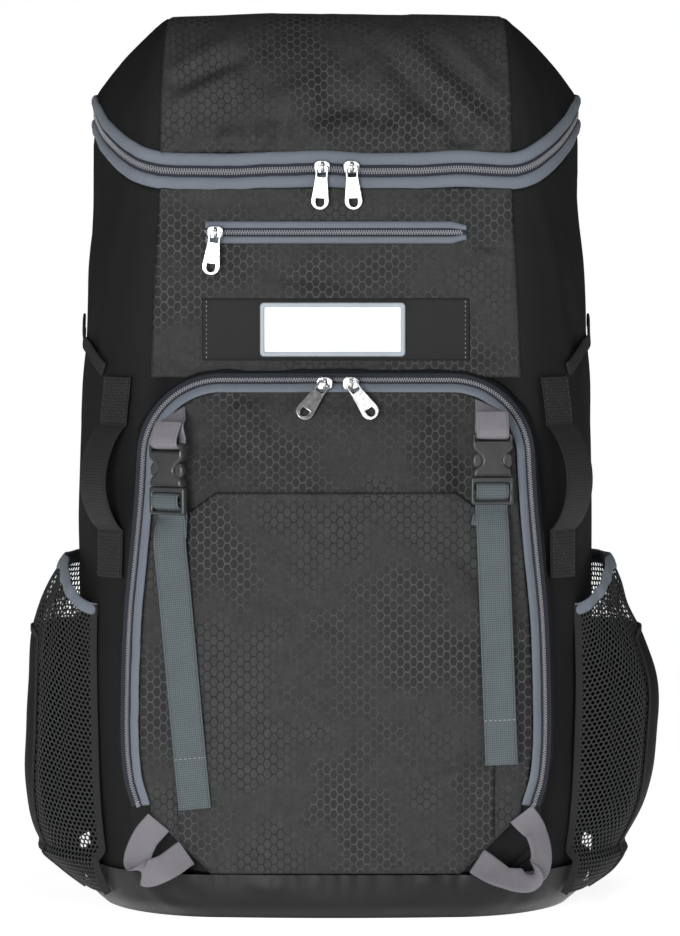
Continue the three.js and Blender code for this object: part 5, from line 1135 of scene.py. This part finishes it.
# Side-release buckles: acetal mouldings with a satin skin. The female half hangs on the pale webbing,
# the male half's two sprung lobes show at its waist and its ladder takes the long strap.
webbing, webbing_wall, buckle_width, buckle_length, ladder_length = 20, 1.6, 25, 43, 17
female_length = buckle_length - ladder_length
acetal = plastic_material("buckle_acetal", (0.026, 0.026, 0.027), 0.33, 2200.0)
female_rows = np.array([(0.0, 11.4), (0.05, 12.3), (0.30, 12.4), (0.38, 11.4), (0.47, 8.6), (0.56, 6.6), (0.64, 6.2),
                        (0.72, 7.4), (0.79, 10.2), (0.85, 11.4), (0.98, 11.7), (1.0, 11.4)])
female_share = np.linspace(0, 1, 49)
female_half = np.interp(female_share, female_rows[:, 0], female_rows[:, 1])
female_half[2:-2] = np.convolve(female_half, np.array([1, 2, 3, 2, 1]) / 9, "valid")
female_outline = np.concatenate([np.stack([-female_half, -female_share * female_length], -1),
                                 np.stack([female_half, -female_share * female_length], -1)[::-1]])
lobe_turn = np.linspace(0, 2 * np.pi, 24, endpoint=False)
front_straps = [
    ("left", -1, 312, 293, 102, 70, 86, 0.6, 10), ("right", 1, 318, 299, 95, 97, 101, 0.08, 6.5),
]
face_far = face_gap + skin_wall
strap_frames = {}
for name, side, web_top, top, at, tail_foot, tail_at, turn, off in front_straps:
    angle, x, stand = side * turn, side * at, off + 3.5 + 2
    hub = np.array([x, float(face_depth_at(np.array(float(x)), np.array(top - buckle_length / 2))) - stand, top])
    axes = turned_axes(turn=angle)
    strap_frames[name] = (hub, axes, x, stand)
    female = plate_piece(f"buckle_female_{name}_shell", [female_outline, rounded_box(-10.4, -4.4, 10.4, -1.2, 0.8)], 7.0, 1.5, hub, axes)
    place_piece(female, acetal, "buckle", f"buckle_female_{name}")
    for lobe_side in (-1, 1):
        lobe = np.stack([lobe_side * 8.9 + 3.3 * np.cos(lobe_turn), -16.2 + 4.9 * np.sin(lobe_turn)], -1)
        button = plate_piece(f"buckle_lobe_{name}_{'outer' if lobe_side * side > 0 else 'inner'}", [lobe], 4.6, 1.4, hub, axes)
        place_piece(button, acetal, "buckle")
    foot = hub - np.array([0, 0, female_length + seam_gap])
    ladder_holes = [rounded_box(-10.5, -8.4, 10.5, -3.6, 0.8), rounded_box(-10.5, -14.8, 10.5, -10.6, 0.8)]
    ladder = plate_piece(f"buckle_male_{name}_ladder", [rounded_box(-13, -ladder_length, 13, 0, 1.8)] + ladder_holes, 4.0, 0.9, foot, axes)
    place_piece(ladder, acetal, "buckle", f"buckle_male_{name}")

# Front straps: pale polyester webbing doubled round each buckle's bar and caught in the zip's seam, and
# grey-green gridded webbing from the pocket's corner up through the ladder, its hemmed tail hanging.


def webbing_material(name, colour, across_pitch, along_pitch, groove=0.55, half=10.0, roughness=0.72, sheen=0.04, bump=0.5):
    """Woven band: grooves where a sine across or along it nears nought, darkened in colour as painted
    shade, a raised selvage line near each edge, and mottled yarn. Pitches in metres, half its half width in
    millimetres."""
    material = bpy.data.materials.new(name)
    material.use_nodes = True
    tree = material.node_tree
    shader = tree.nodes["Principled BSDF"]
    uv = add_node(tree, "ShaderNodeUVMap", {"uv_map": "cloth"}).outputs["UV"]
    split = add_node(tree, "ShaderNodeSeparateXYZ", Vector=uv)
    ridge_u = maths(tree, "ABSOLUTE", maths(tree, "SINE", maths(tree, "MULTIPLY", split.outputs["X"], np.pi / across_pitch)))
    ridge_v = maths(tree, "ABSOLUTE", maths(tree, "SINE", maths(tree, "MULTIPLY", split.outputs["Y"], np.pi / along_pitch)))
    ridge = maths(tree, "MINIMUM", ridge_u, ridge_v)
    raised = add_node(tree, "ShaderNodeMapRange", {"interpolation_type": "SMOOTHSTEP"}, Value=ridge, in1=0.0, in2=0.6, in3=0.0, in4=1.0).outputs["Result"]
    edge = maths(tree, "SUBTRACT", maths(tree, "ABSOLUTE", split.outputs["X"]), (half - 1.5) * mm)
    line = add_node(tree, "ShaderNodeMapRange", Value=maths(tree, "ABSOLUTE", edge), in1=0.0001, in2=0.0004, in3=1.0, in4=0.0).outputs["Result"]
    blotches = add_node(tree, "ShaderNodeTexNoise", Vector=uv, Scale=60.0, Detail=4.0, Roughness=0.6)
    yarn = add_node(tree, "ShaderNodeTexNoise", Vector=uv, Scale=2600.0, Detail=1.0)
    # Painted shade: the grooves' colour is darkened by the share groove.
    dark, light = tuple(c * (1 - groove) for c in colour) + (1,), tuple(c * 1.12 for c in colour) + (1,)
    base = add_node(tree, "ShaderNodeMix", {"data_type": "RGBA"}, Factor=raised, in6=dark, in7=light).outputs[2]
    lined = add_node(tree, "ShaderNodeMix", {"data_type": "RGBA"}, Factor=maths(tree, "MULTIPLY", line, 0.6), in6=base, in7=dark).outputs[2]
    tone = maths(tree, "MULTIPLY_ADD", blotches.outputs["Fac"], 0.35, maths(tree, "MULTIPLY_ADD", yarn.outputs["Fac"], 0.3, 0.66))
    shade = add_node(tree, "ShaderNodeVectorMath", {"operation": "SCALE"}, in0=lined, Scale=tone).outputs[0]
    tree.links.new(shade, shader.inputs["Base Color"])
    height = maths(tree, "MULTIPLY_ADD", yarn.outputs["Fac"], 0.3, raised)
    relief = add_node(tree, "ShaderNodeBump", Height=height, Strength=bump, Distance=0.0003)
    tree.links.new(relief.outputs["Normal"], shader.inputs["Normal"])
    gloss = maths(tree, "MULTIPLY_ADD", blotches.outputs["Fac"], 0.2, roughness - 0.1)
    tree.links.new(gloss, shader.inputs["Roughness"])
    shader.inputs["Sheen Weight"].default_value = sheen
    shader.inputs["Specular IOR Level"].default_value = 0.2
    return material


def run_through(places, across, count=160):
    """A smooth run through places, with the band's sideways direction at each: cubic pieces whose
    slopes weigh each side by the root of its chord, as a centripetal curve has them."""
    p = np.asarray(places, dtype=float)
    p = np.concatenate([[2 * p[0] - p[1]], p, [2 * p[-1] - p[-2]]])
    last = len(places) - 1
    t = np.linspace(0, last, count)
    i = np.clip(np.floor(t).astype(int), 0, last - 1)
    w = (t - i)[:, None]
    p0, p1, p2, p3 = p[i], p[i + 1], p[i + 2], p[i + 3]
    d0, d1, d2 = (np.linalg.norm(b - a, axis=-1, keepdims=True) ** 0.5 for a, b in ((p0, p1), (p1, p2), (p2, p3)))
    m1 = ((p1 - p0) / d0 - (p2 - p0) / (d0 + d1) + (p2 - p1) / d1) * d1
    m2 = ((p2 - p1) / d1 - (p3 - p1) / (d1 + d2) + (p3 - p2) / d2) * d1
    c2, c3 = -3 * p1 + 3 * p2 - 2 * m1 - m2, 2 * p1 - 2 * p2 + m1 + m2
    place = p1 + m1 * w + c2 * w**2 + c3 * w**3
    tangent = m1 + 2 * c2 * w + 3 * c3 * w**2
    tangent /= np.linalg.norm(tangent, axis=-1, keepdims=True)
    across = np.asarray(across, dtype=float)
    sideways = across[i] * (1 - w) + across[i + 1] * w
    out = np.cross(tangent, sideways)
    out /= np.linalg.norm(out, axis=-1, keepdims=True)
    return place, np.cross(out, tangent), out


def on_face_even(x, z, off):
    """A place off the compartment's even face, without its folds."""
    return np.array([x, float(face_depth_at(np.array(float(x)), np.array(float(z)))) - off, z])


pale_webbing = webbing_material("pale_webbing", (0.175, 0.166, 0.185), 0.0009, 0.0007, groove=0.3)
gridded_webbing = webbing_material("gridded_webbing", (0.082, 0.1, 0.107), 0.00125, 0.0014, groove=0.55)
level = np.array([1.0, 0, 0])
for name, side, web_top, top, at, tail_foot, tail_at, turn, off in front_straps:
    hub, axes, x, stand = strap_frames[name]
    sideways = axes @ level

    def near(forward, below):
        """A place by the buckle: forward of its middle plane and below its top."""
        return hub + axes @ np.array([0, -forward, -below])

    top_places = [on_face_even(x, web_top - 3.5, face_far + webbing_wall + seam_gap), near(-2.6, -8), near(-4.6, -2), near(-3.9, 1.2),
                  near(0, 2.7), near(4.2, 1.0), near(4.9, -2), near(1.6, -9.5), near(-0.6, -13)]
    top_run = run_through(top_places, [level] + [sideways] * 8, 120)
    top_band = band_piece(f"top_webbing_{name}_band", top_run, webbing, webbing_wall, slant=0.62 if side < 0 else -0.48)
    place_piece(top_band, pale_webbing, "pale_webbing", f"top_webbing_{name}")
    ladder_top = female_length + seam_gap
    tail_x, tail_start = side * tail_at, hub[2] - ladder_top - 22
    hang = []
    for share in (0.06, 0.2, 0.45, 0.72, 1.0):
        z = tail_start + (tail_foot - tail_start) * share
        hang.append(on_face_even(x + (tail_x - x) * share, z, stand - 3 + (9 - stand + 3) * min(share * 2.5, 1)))
    anchor_off = face_far + face_gap + skin_wall + slip_proud + webbing_wall * 1.2
    anchor = on_face_even(x - side * 3, hub[2] - ladder_top - 31, anchor_off)
    strap_places = [anchor, near(-6.4, ladder_top + 16), near(-5.0, ladder_top + 10), near(-3.6, ladder_top + 6.8), near(0, ladder_top + 4.6),
                    near(3.0, ladder_top + 5.4), near(3.6, ladder_top + 8.6), near(2.6, ladder_top + 11.4), near(-0.6, ladder_top + 13.2),
                    near(-3.1, ladder_top + 15.4), near(-3.3, ladder_top + 19)] + hang
    strap_run = run_through(strap_places, [sideways] * 11 + [level] * 5, 260)
    strap_band = band_piece(f"tension_strap_{name}_band", strap_run, webbing, webbing_wall, wave=0.5, seed=81)
    place_piece(strap_band, gridded_webbing, "grey_webbing", f"tension_strap_{name}")
    hem_at = len(strap_run[0]) - 12
    hem_place, hem_across, hem_out = (part[hem_at] for part in strap_run)
    hem_line = hem_place + hem_across * np.linspace(-8.6, 8.6, 30)[:, None] + hem_out * (webbing_wall / 2 + 0.1)
    stitch_row(f"tail_stitches_{name}", hem_line, np.repeat(hem_out[None], 30, 0), pitch=2.4, length=1.7, thick=0.5, material=pale_thread)

# Corner loops: pale webbing folded over and sewn along the slanted corner seams of the face, to lash
# things under the bag. The left one is folded flat, the right one stands open.
pale_loop_width = webbing * 0.85
corner_loops = [("left", -1, 0.24, 0.66, 27, 7.5, 0.2), ("right", 1, 0.12, 0.78, 30, 14, 0.45)]
for name, side, start_at, end_at, reach, lift, lean in corner_loops:
    seam_top, seam_foot = np.array([side * chamfer_top_half, u_zip_foot]), np.array([side * chamfer_foot, boot_height])

    def on_seam(share, off):
        """A place on the slanted seam, a share of the way down it."""
        spot = seam_top + (seam_foot - seam_top) * share
        return on_face_even(spot[0], spot[1], off)

    down_seam = on_seam(1, 0) - on_seam(0, 0)
    down_seam /= np.linalg.norm(down_seam)
    forward = np.array([0, -1.0, 0])
    away = np.cross(down_seam, forward)
    away /= np.linalg.norm(away)
    away = -away if away[2] > 0 else away
    sewn = face_far + webbing_wall / 2 + seam_gap * 2
    start, end = on_seam(start_at, sewn) - away * 1.1, on_seam(end_at, sewn + lift * 0.2)

    def loop_spot(share, out, up):
        """A place on the loop: between its ends, away from the seam and lifted forward."""
        return start + (end - start) * share + away * reach * out + forward * lift * up

    tilted = down_seam * (1 - lean) + forward * lean
    tilted /= np.linalg.norm(tilted)
    loop_places = [start, loop_spot(0.05, 0.5, 0.1), loop_spot(0.3, 0.95, 0.35), loop_spot(0.6, 1.0, 0.8), loop_spot(0.85, 0.6, 1.0), end]
    loop_run = run_through(loop_places, [down_seam, tilted, tilted, tilted, tilted, down_seam], 110)
    loop_band = band_piece(f"corner_loop_{name}_band", loop_run, pale_loop_width, webbing_wall, wave=0.3, seed=83)
    place_piece(loop_band, pale_webbing, "pale_webbing", f"corner_loop_{name}")

# Bat loops: wide black ribbed webbing on each side, its ends sewn flat in boxes and its middle left
# loose for a bat's handle. Above them lies the slanted edge of a side pocket.
loop_width, loop_top, loop_foot, loop_patch, loop_bow = 26, 332, 208, 30, 15
black_webbing = webbing_material("black_webbing", (0.011, 0.011, 0.0115), 0.0011, 0.0019, groove=0.5, half=13.0, roughness=0.62, sheen=0.04, bump=0.9)


def body_frame(around, z, off):
    """Places off the body's outside, with the directions sideways, outwards and up there."""
    place = on_body(around, z)
    across = on_body(around + 0.01, z) - on_body(around - 0.01, z)
    across /= np.linalg.norm(across, axis=-1, keepdims=True)
    up = on_body(around, z + 2) - on_body(around, z - 2)
    up /= np.linalg.norm(up, axis=-1, keepdims=True)
    out = np.cross(across, up)
    out /= np.linalg.norm(out, axis=-1, keepdims=True)
    return place + out * np.reshape(off, (-1, 1)), across, out


for name, side in (("left", -1), ("right", 1)):
    v = np.linspace(0, 1, 130)
    z = loop_foot + (loop_top - loop_foot) * v
    around = side * (0.302 + (0.288 - 0.302) * v)
    share = np.clip((z - loop_foot - loop_patch) / (loop_top - loop_foot - 2 * loop_patch), 0, 1)
    relief = np.maximum(body_relief(around, z), 0)
    off = seam_gap + webbing_wall / 2 + relief + loop_bow * np.sin(np.pi * share) ** 0.7
    loop_run = body_frame(around, z, off)
    loop_band = band_piece(f"bat_loop_{name}_band", loop_run, loop_width, webbing_wall)
    place_piece(loop_band, black_webbing, "black_webbing", f"bat_loop_{name}")
    for where, low, high in (("lower", 3, 27), ("upper", 97, 121)):
        for kind, z0, z1, s0, s1 in (("foot", low, low, -10.5, 10.5), ("head", high, high, -10.5, 10.5), ("cross", low, high, -10.5, 10.5),
                                     ("back", low, high, 10.5, -10.5), ("inner", low, high, -10.5, -10.5), ("outer", low, high, 10.5, 10.5)):
            t = np.linspace(0, 1, 24)
            rows = np.interp(z0 + (z1 - z0) * t, (z - loop_foot), np.arange(len(z)))
            low_row = np.floor(rows).astype(int)
            place, across, out = (part[low_row] for part in loop_run)
            line = place + across * (s0 + (s1 - s0) * t)[:, None] + out * (webbing_wall / 2 + 0.12)
            line[:, 2] += z0 + (z1 - z0) * t - (z[low_row] - loop_foot)
            stitch_row(f"bat_loop_{name}_{where}_{kind}", line, out, pitch=2.8, length=2.0, thick=0.5, material=dark_thread)
    v = np.linspace(0, 1, 70)
    lip_around, lip_z = side * (0.33 + 0.17 * v), 336 + 29 * v
    lip_place, _, lip_out = body_frame(lip_around, lip_z, 1.6 + np.maximum(body_relief(lip_around, lip_z), 0))
    lip_run, lip_across, lip_out = path_frames(lip_place, lip_out)
    lip = band_piece(f"side_lip_{name}_fold", (lip_place, lip_across, lip_out), 9, 1.8, wave=0.3, seed=85)
    place_piece(lip, patch_cloth, "plain_cloth", f"side_lip_{name}")

# Side pockets: knitted net gathered into a bound rim, its outer and rear part of closed plain cloth.
# A dark folded tape covers the seam between net and cloth, and the net's seam on the front panel.
pocket_foot, pocket_front_rim, pocket_rear_rim = 10, 190, 216
pocket_front_depth, pocket_rear_depth, pocket_bulge = -58, 72, 40
pouch_from, pouch_top, rim_binding = 0.375, 0.78, 7
pocket_rows = {
    "height": (0.045, 0.1, 0.17, 0.3, 0.5, 0.64, 0.77, 0.86, 0.93, 1.0),
    "left": (0.05, 0.38, 0.75, 0.88, 0.82, 0.78, 0.72, 0.58, 0.42, 0.2),
    "right": (0.08, 0.42, 0.62, 0.9, 1.0, 1.0, 0.75, 0.5, 0.4, 0.25),
}


def body_side_at(y, z):
    """Half width of the body at (y, z): the quarter ellipse in front, the squarer one behind."""
    form = body_form(z)
    cosine = np.clip((form["widest"] - y) / (form["widest"] + form["front"] - front_bow), 0, 1)
    sine = np.clip((y - form["widest"]) / (form["back"] - form["widest"]), 0, 1) ** 1.25
    fore = form["seam"] + (form["half"] - form["seam"]) * np.sqrt(1 - cosine**2)
    aft = form["rear"] + (form["half"] - form["rear"]) * np.sqrt(1 - sine**2) ** 0.8
    return np.where(y <= form["widest"], fore, aft)


def pocket_at(name, across, along, off):
    """A place on the pocket: across from its front seam over the outermost line to its rear seam,
    a half ellipse in depth whose bulge is read from the table, off it by a distance."""
    across, along, off = np.broadcast_arrays(across, along, off)
    side = -1 if name == "left" else 1
    angle = np.pi * across
    y = (pocket_front_depth + pocket_rear_depth) / 2 - (pocket_rear_depth - pocket_front_depth) / 2 * np.cos(angle)
    rim = pocket_front_rim + (pocket_rear_rim - pocket_front_rim) * ease(across * 2.2)
    z = pocket_foot + (rim - pocket_foot) * along
    bulge = smooth_table(pocket_rows, name, z / pocket_rear_rim) * pocket_bulge * np.clip(np.sin(angle), 0, 1) ** 0.75
    boot_out = (boot_ease + boot_wall + boot_gap + seam_gap) * (1 + 1.6 * ease(across * 2 - 1))
    clear = boot_out + (seam_gap * 2 - boot_out) * ease((z - boot_height - 2) / 8)
    outward = np.maximum(2 * np.sin(angle), 0.9)
    scale = np.hypot(outward, np.cos(angle))
    y = y - off * np.cos(angle) / scale
    return np.stack([side * (body_side_at(y, z) + clear + bulge + off * outward / scale), y, z], axis=-1)


def pocket_gathers(across, along, seed):
    """Upright folds of the gathered cloth: waves along the rim that fade downwards, and soft swells."""
    run = across * 169
    wave = 2.4 * soft_noise(run, along * 30, 13, seed) + 0.9 * soft_noise(run, along * 20, 6, seed + 1)
    return wave * (0.35 + 0.65 * ease(along * 1.3)) * ease(along * 8) * np.clip(np.sin(np.pi * across) * 3, 0, 1)


def net_piece(name, side_name, pitch=3.4, cord=0.31):
    """Knitted net: six-sided cells in rows a half step apart on the pocket's surface, each a frame
    of six faces between its edge and its eye, the eye the cell shrunk by the cord's share."""
    width, tall = 169.0, 196.0
    columns, rows = int(width / pitch), int(tall / (pitch * 0.866))
    i, j = np.meshgrid(np.arange(columns), np.arange(rows))
    u, v = (i + 0.5 + 0.5 * (j % 2)) * pitch, (j + 0.7) * pitch * 0.866
    across, along = u / width, v / tall
    keep = ((across < pouch_from + 0.004) | (along > pouch_top - 0.006)) & (along < 0.99) & (across < 0.985) & (across > 0.012)
    centres = np.stack([u[keep], v[keep]], -1)
    turn = np.arange(6) * np.pi / 3
    corner = np.stack([np.sin(turn), np.cos(turn)], -1) * pitch / 3**0.5
    outer = centres[:, None] + corner[None]
    inner = centres[:, None] + corner[None] * (1 - cord)
    flat = np.concatenate([outer, inner], axis=1).reshape(-1, 2)
    spots, index = np.unique(np.round(flat, 3), axis=0, return_inverse=True)
    index = index.reshape(-1, 12)
    k = np.arange(6)
    quads = np.stack([index[:, k], index[:, 6 + k], index[:, 6 + (k + 1) % 6], index[:, (k + 1) % 6]], axis=-1).reshape(-1, 4)
    if side_name == "left":
        quads = quads[:, ::-1]
    across, along = spots[:, 0] / width, spots[:, 1] / tall
    points = pocket_at(side_name, across, along, 0.6 + pocket_gathers(across, along, 91))
    mesh = bpy.data.meshes.new(name)
    mesh.from_pydata((points * mm).tolist(), [], quads[:, ::-1].tolist())
    layer = mesh.uv_layers.new(name="cloth")
    corners = np.empty(len(mesh.loops), dtype=np.int32)
    mesh.loops.foreach_get("vertex_index", corners)
    layer.data.foreach_set("uv", (spots[corners] * mm).astype(np.float32).ravel())
    mesh.shade_smooth()
    piece = bpy.data.objects.new(name, mesh)
    bpy.context.scene.collection.objects.link(piece)
    thick = piece.modifiers.new("cord_wall", "SOLIDIFY")
    thick.thickness, thick.offset = 0.5 * mm, 0
    return piece, len(centres) * 0.75**0.5 * (pitch * mm) ** 2 * (1 - (1 - cord) ** 2)


net_yarn = cloth_material("net_yarn", (0.03, 0.031, 0.032), 0.0004, roughness=0.6, sheen=0.0, bump=0.3)
for name, side in (("left", -1), ("right", 1)):
    net, net_area = net_piece(f"side_net_{name}_knit", name)
    place_piece(net, net_yarn, "net", f"side_net_{name}")
    across, along = np.meshgrid(np.linspace(pouch_from, 1, 84), np.linspace(0, pouch_top, 84))
    lift = 0.7 + pocket_gathers(across, along, 91) + 0.8 * soft_noise(across * 169, along * 200, 26, 95)
    pouch_places = pocket_at(name, across, along, lift * np.clip(np.sin(np.pi * across) * 3, 0, 1))
    pouch = cloth_piece(f"side_pouch_{name}_cloth", pouch_places, flip=name == "left", wall=0.9)
    place_piece(pouch, plain_cloth, "plain_cloth", f"side_pouch_{name}")
    rim_across = np.linspace(0.0, 1, 160)[None, :]
    rim_rows = np.array([(0.964, 0.3), (0.966, 1.5), (0.975, 2.1), (0.985, 2.2), (0.996, 1.8), (1.004, 0.9), (1.006, 0.2), (1.002, -0.8), (0.985, -1.1), (0.966, -0.6)])
    rim_off = rim_rows[:, 1:2] + pocket_gathers(rim_across, rim_rows[:, :1], 91)
    rim = cloth_piece(f"net_binding_{name}_fold", pocket_at(name, rim_across, rim_rows[:, :1], rim_off), flip=name == "left", wall=0.5)
    place_piece(rim, zip_tape, "zip_tape", f"net_binding_{name}")
    t = np.linspace(0, 1, 120)
    corner_across = np.concatenate([np.full(120, pouch_from), pouch_from + (0.99 - pouch_from) * t])
    corner_along = np.concatenate([pouch_top * t, np.full(120, pouch_top)])
    turn_share = np.exp(-(((np.arange(240) - 119.5) / 14) ** 2)) * 0.02
    seam_line = pocket_at(name, corner_across + turn_share, corner_along - turn_share, 1.2 + pocket_gathers(corner_across, corner_along, 91))
    seam_out = pocket_at(name, corner_across, corner_along, 3.0) - pocket_at(name, corner_across, corner_along, 0.0)
    seam_run, seam_across, seam_out = path_frames(seam_line, seam_out)
    seam_tape = band_piece(f"pouch_seam_{name}", (seam_line, seam_across, seam_out), 5.0, 1.3)
    place_piece(seam_tape, patch_cloth, "plain_cloth")
    front_along = np.linspace(0, 1, 90)
    front_line = pocket_at(name, np.full(90, 0.012), front_along, 0.8)
    front_out = pocket_at(name, np.full(90, 0.03), front_along, 3.0) - pocket_at(name, np.full(90, 0.03), front_along, 0.0)
    front_run, front_across, front_out = path_frames(front_line, front_out)
    front_tape = band_piece(f"net_seam_{name}", (front_line, front_across, front_out), 5.0, 1.2)
    place_piece(front_tape, patch_cloth, "plain_cloth")

# Back: a padded panel of spacer mesh with three sewn channels, two padded shoulder straps bound in
# black tape, moulded adjusters with their lower webbing, and the haul loop between the straps.
back_pad, back_foot, back_top, back_half = 12, 34, 500, 106
strap_width, strap_wall, strap_spread, strap_stand = 62, 12, 118, 62
adjuster_length, adjuster_wall, haul_half, haul_bow, haul_height = 26, 4, 48, 26, 517


def spacer_material(name, colour, pitch):
    """Spacer mesh: rows of round eyes a half step apart, sunk, their dark colour painted shade, in a knitted face."""
    material = bpy.data.materials.new(name)
    material.use_nodes = True
    tree = material.node_tree
    shader = tree.nodes["Principled BSDF"]
    uv = add_node(tree, "ShaderNodeUVMap", {"uv_map": "cloth"}).outputs["UV"]
    split = add_node(tree, "ShaderNodeSeparateXYZ", Vector=uv)
    step = 2 * np.pi / pitch
    first = maths(tree, "MULTIPLY", maths(tree, "COSINE", maths(tree, "MULTIPLY", split.outputs["X"], step)),
                  maths(tree, "COSINE", maths(tree, "MULTIPLY", split.outputs["Y"], step * 0.6)))
    eye = add_node(tree, "ShaderNodeMapRange", {"interpolation_type": "SMOOTHSTEP"}, Value=first, in1=0.25, in2=0.65, in3=0.0, in4=1.0).outputs["Result"]
    fibres = add_node(tree, "ShaderNodeTexNoise", Vector=uv, Scale=1500.0, Detail=2.0)
    light = tuple(c * 1.2 for c in colour) + (1,)
    # Painted shade: the sunk eyes are a quarter as light as the knitted face.
    shade = add_node(tree, "ShaderNodeMix", {"data_type": "RGBA"}, Factor=eye, in6=light, in7=tuple(c * 0.25 for c in colour) + (1,))
    tree.links.new(shade.outputs[2], shader.inputs["Base Color"])
    height = maths(tree, "MULTIPLY_ADD", eye, -1.0, maths(tree, "MULTIPLY", fibres.outputs["Fac"], 0.4))
    relief = add_node(tree, "ShaderNodeBump", Height=height, Strength=0.7, Distance=0.0006)
    tree.links.new(relief.outputs["Normal"], shader.inputs["Normal"])
    shader.inputs["Roughness"].default_value = 0.85
    shader.inputs["Specular IOR Level"].default_value = 0.2
    return material


spacer_mesh = spacer_material("spacer_mesh", (0.014, 0.0142, 0.0148), 0.0032)
pad_share, pad_along = np.meshgrid(np.linspace(-1, 1, 84), np.linspace(0, 1, 150))
pad_z = back_foot + (back_top - back_foot) * pad_along
pad_edge = (1 - pad_share**8) * (1 - (pad_along * 2 - 1) ** 24)
channels = sum(np.exp(-(((pad_share - at) / 0.035) ** 2)) for at in (-0.42, 0.42)) + sum(
    np.exp(-(((pad_z - at) / 4.5) ** 2)) * (np.abs(pad_share) > 0.42) for at in (150, 265, 380))
pad_off = back_pad * (0.35 + 0.65 * np.clip(pad_edge, 0, 1)) * (1 - 0.42 * np.clip(channels, 0, 1)) + 0.5 * soft_noise(pad_share * 100, pad_z, 30, 101)
pad_x = -pad_share * back_half * (1 - 0.1 * np.sin(np.pi * pad_along))
pad_base = body_form(pad_z)["back"] + seam_gap
pad_rows = np.stack([pad_x, pad_base + pad_off * ease(pad_edge * 14 + 0.02), pad_z], -1)
back_panel = cloth_piece("back_panel_pad", pad_rows, wall=2.0)
place_piece(back_panel, spacer_mesh, "plain_cloth", "back_panel")

strap_table = [(0.975, 0.42, -0.02), (0.95, 0.43, 0.02), (0.9, 0.47, 0.45), (0.84, 0.52, 0.78), (0.76, 0.6, 0.98), (0.64, 0.72, 1.0),
               (0.52, 0.82, 0.88), (0.42, 0.9, 0.68)]
strap_base = body_back + seam_gap + back_pad
for name, side in (("left", -1), ("right", 1)):
    strap_places = [(side * a * strap_spread, strap_base + strap_wall / 2 + s * strap_stand, h * back_top) for h, a, s in strap_table]
    strap_run = run_through(strap_places, [(-1.0, 0, 0)] * len(strap_places), 150)
    pad = band_piece(f"shoulder_strap_{name}_pad", strap_run, strap_width, strap_wall, wave=0.5, seed=103, square=3.2)
    place_piece(pad, spacer_mesh, "plain_cloth", f"shoulder_strap_{name}")
    for edge_name, edge_side in (("inner", 1), ("outer", -1)):
        edge_line = strap_run[0] + strap_run[1] * (strap_width / 2 - 1.2) * edge_side
        piping = band_piece(f"shoulder_strap_{name}_{edge_name}_binding", (edge_line, strap_run[2], strap_run[1] * edge_side), 7.5, 2.8, square=3)
        place_piece(piping, black_webbing, "black_webbing")
    place, across, out = strap_run
    downward = (place[-1] - place[-4]) / np.linalg.norm(place[-1] - place[-4])
    outward = np.cross(-downward, level)
    outward /= np.linalg.norm(outward)
    sideways = np.cross(outward, -downward)
    axes = np.stack([sideways, outward, -downward], axis=1)
    hub = place[-1] + downward * seam_gap * 1.5
    half = webbing / 2 + 0.5
    adjuster = plate_piece(f"strap_adjuster_{name}_frame", [rounded_box(-half - 3.5, -adjuster_length, half + 3.5, 0, 2.5),
                           rounded_box(-half, -9, half, -4, 0.8), rounded_box(-half, -21, half, -13, 0.8)], adjuster_wall, 1.0, hub, axes)
    place_piece(adjuster, acetal, "buckle", f"strap_adjuster_{name}")
    over = adjuster_wall / 2 + webbing_wall / 2 + seam_gap * 2
    on_boot = [boot_place(np.array(side * 0.85), np.array(z)) + np.array([0, 3.7, 0]) for z in (28.0, 26.4, 12.0)]
    low_places = [hub + axes @ np.array([0, o, u]) for o, u in ((0.4, -16), (over * 0.8, -19.4), (over, -24), (over * 0.6, -34))]
    low_places += [(hub + axes @ np.array([0, 0, -adjuster_length * 2.0]) + on_boot[0]) / 2, on_boot[1], on_boot[2]]
    low_run = run_through(low_places, [(-1.0, 0, 0)] * 7, 150)
    low_band = band_piece(f"lower_webbing_{name}_band", low_run, webbing, webbing_wall)
    place_piece(low_band, black_webbing, "black_webbing", f"lower_webbing_{name}")
haul_y = float(body_form(np.array(float(haul_height)))["back"]) + seam_gap + webbing_wall * 1.5
haul_places = [(-haul_half, haul_y, haul_height - 4), (-haul_half * 0.8, haul_y + haul_bow * 0.5, haul_height), (0, haul_y + haul_bow, haul_height + 2),
               (haul_half * 0.8, haul_y + haul_bow * 0.5, haul_height), (haul_half, haul_y, haul_height - 4)]
haul = band_piece("haul_loop_band", run_through(haul_places, [(0, 0, 1.0)] * 5, 90), webbing, webbing_wall * 1.4)
place_piece(haul, black_webbing, "black_webbing", "haul_loop")
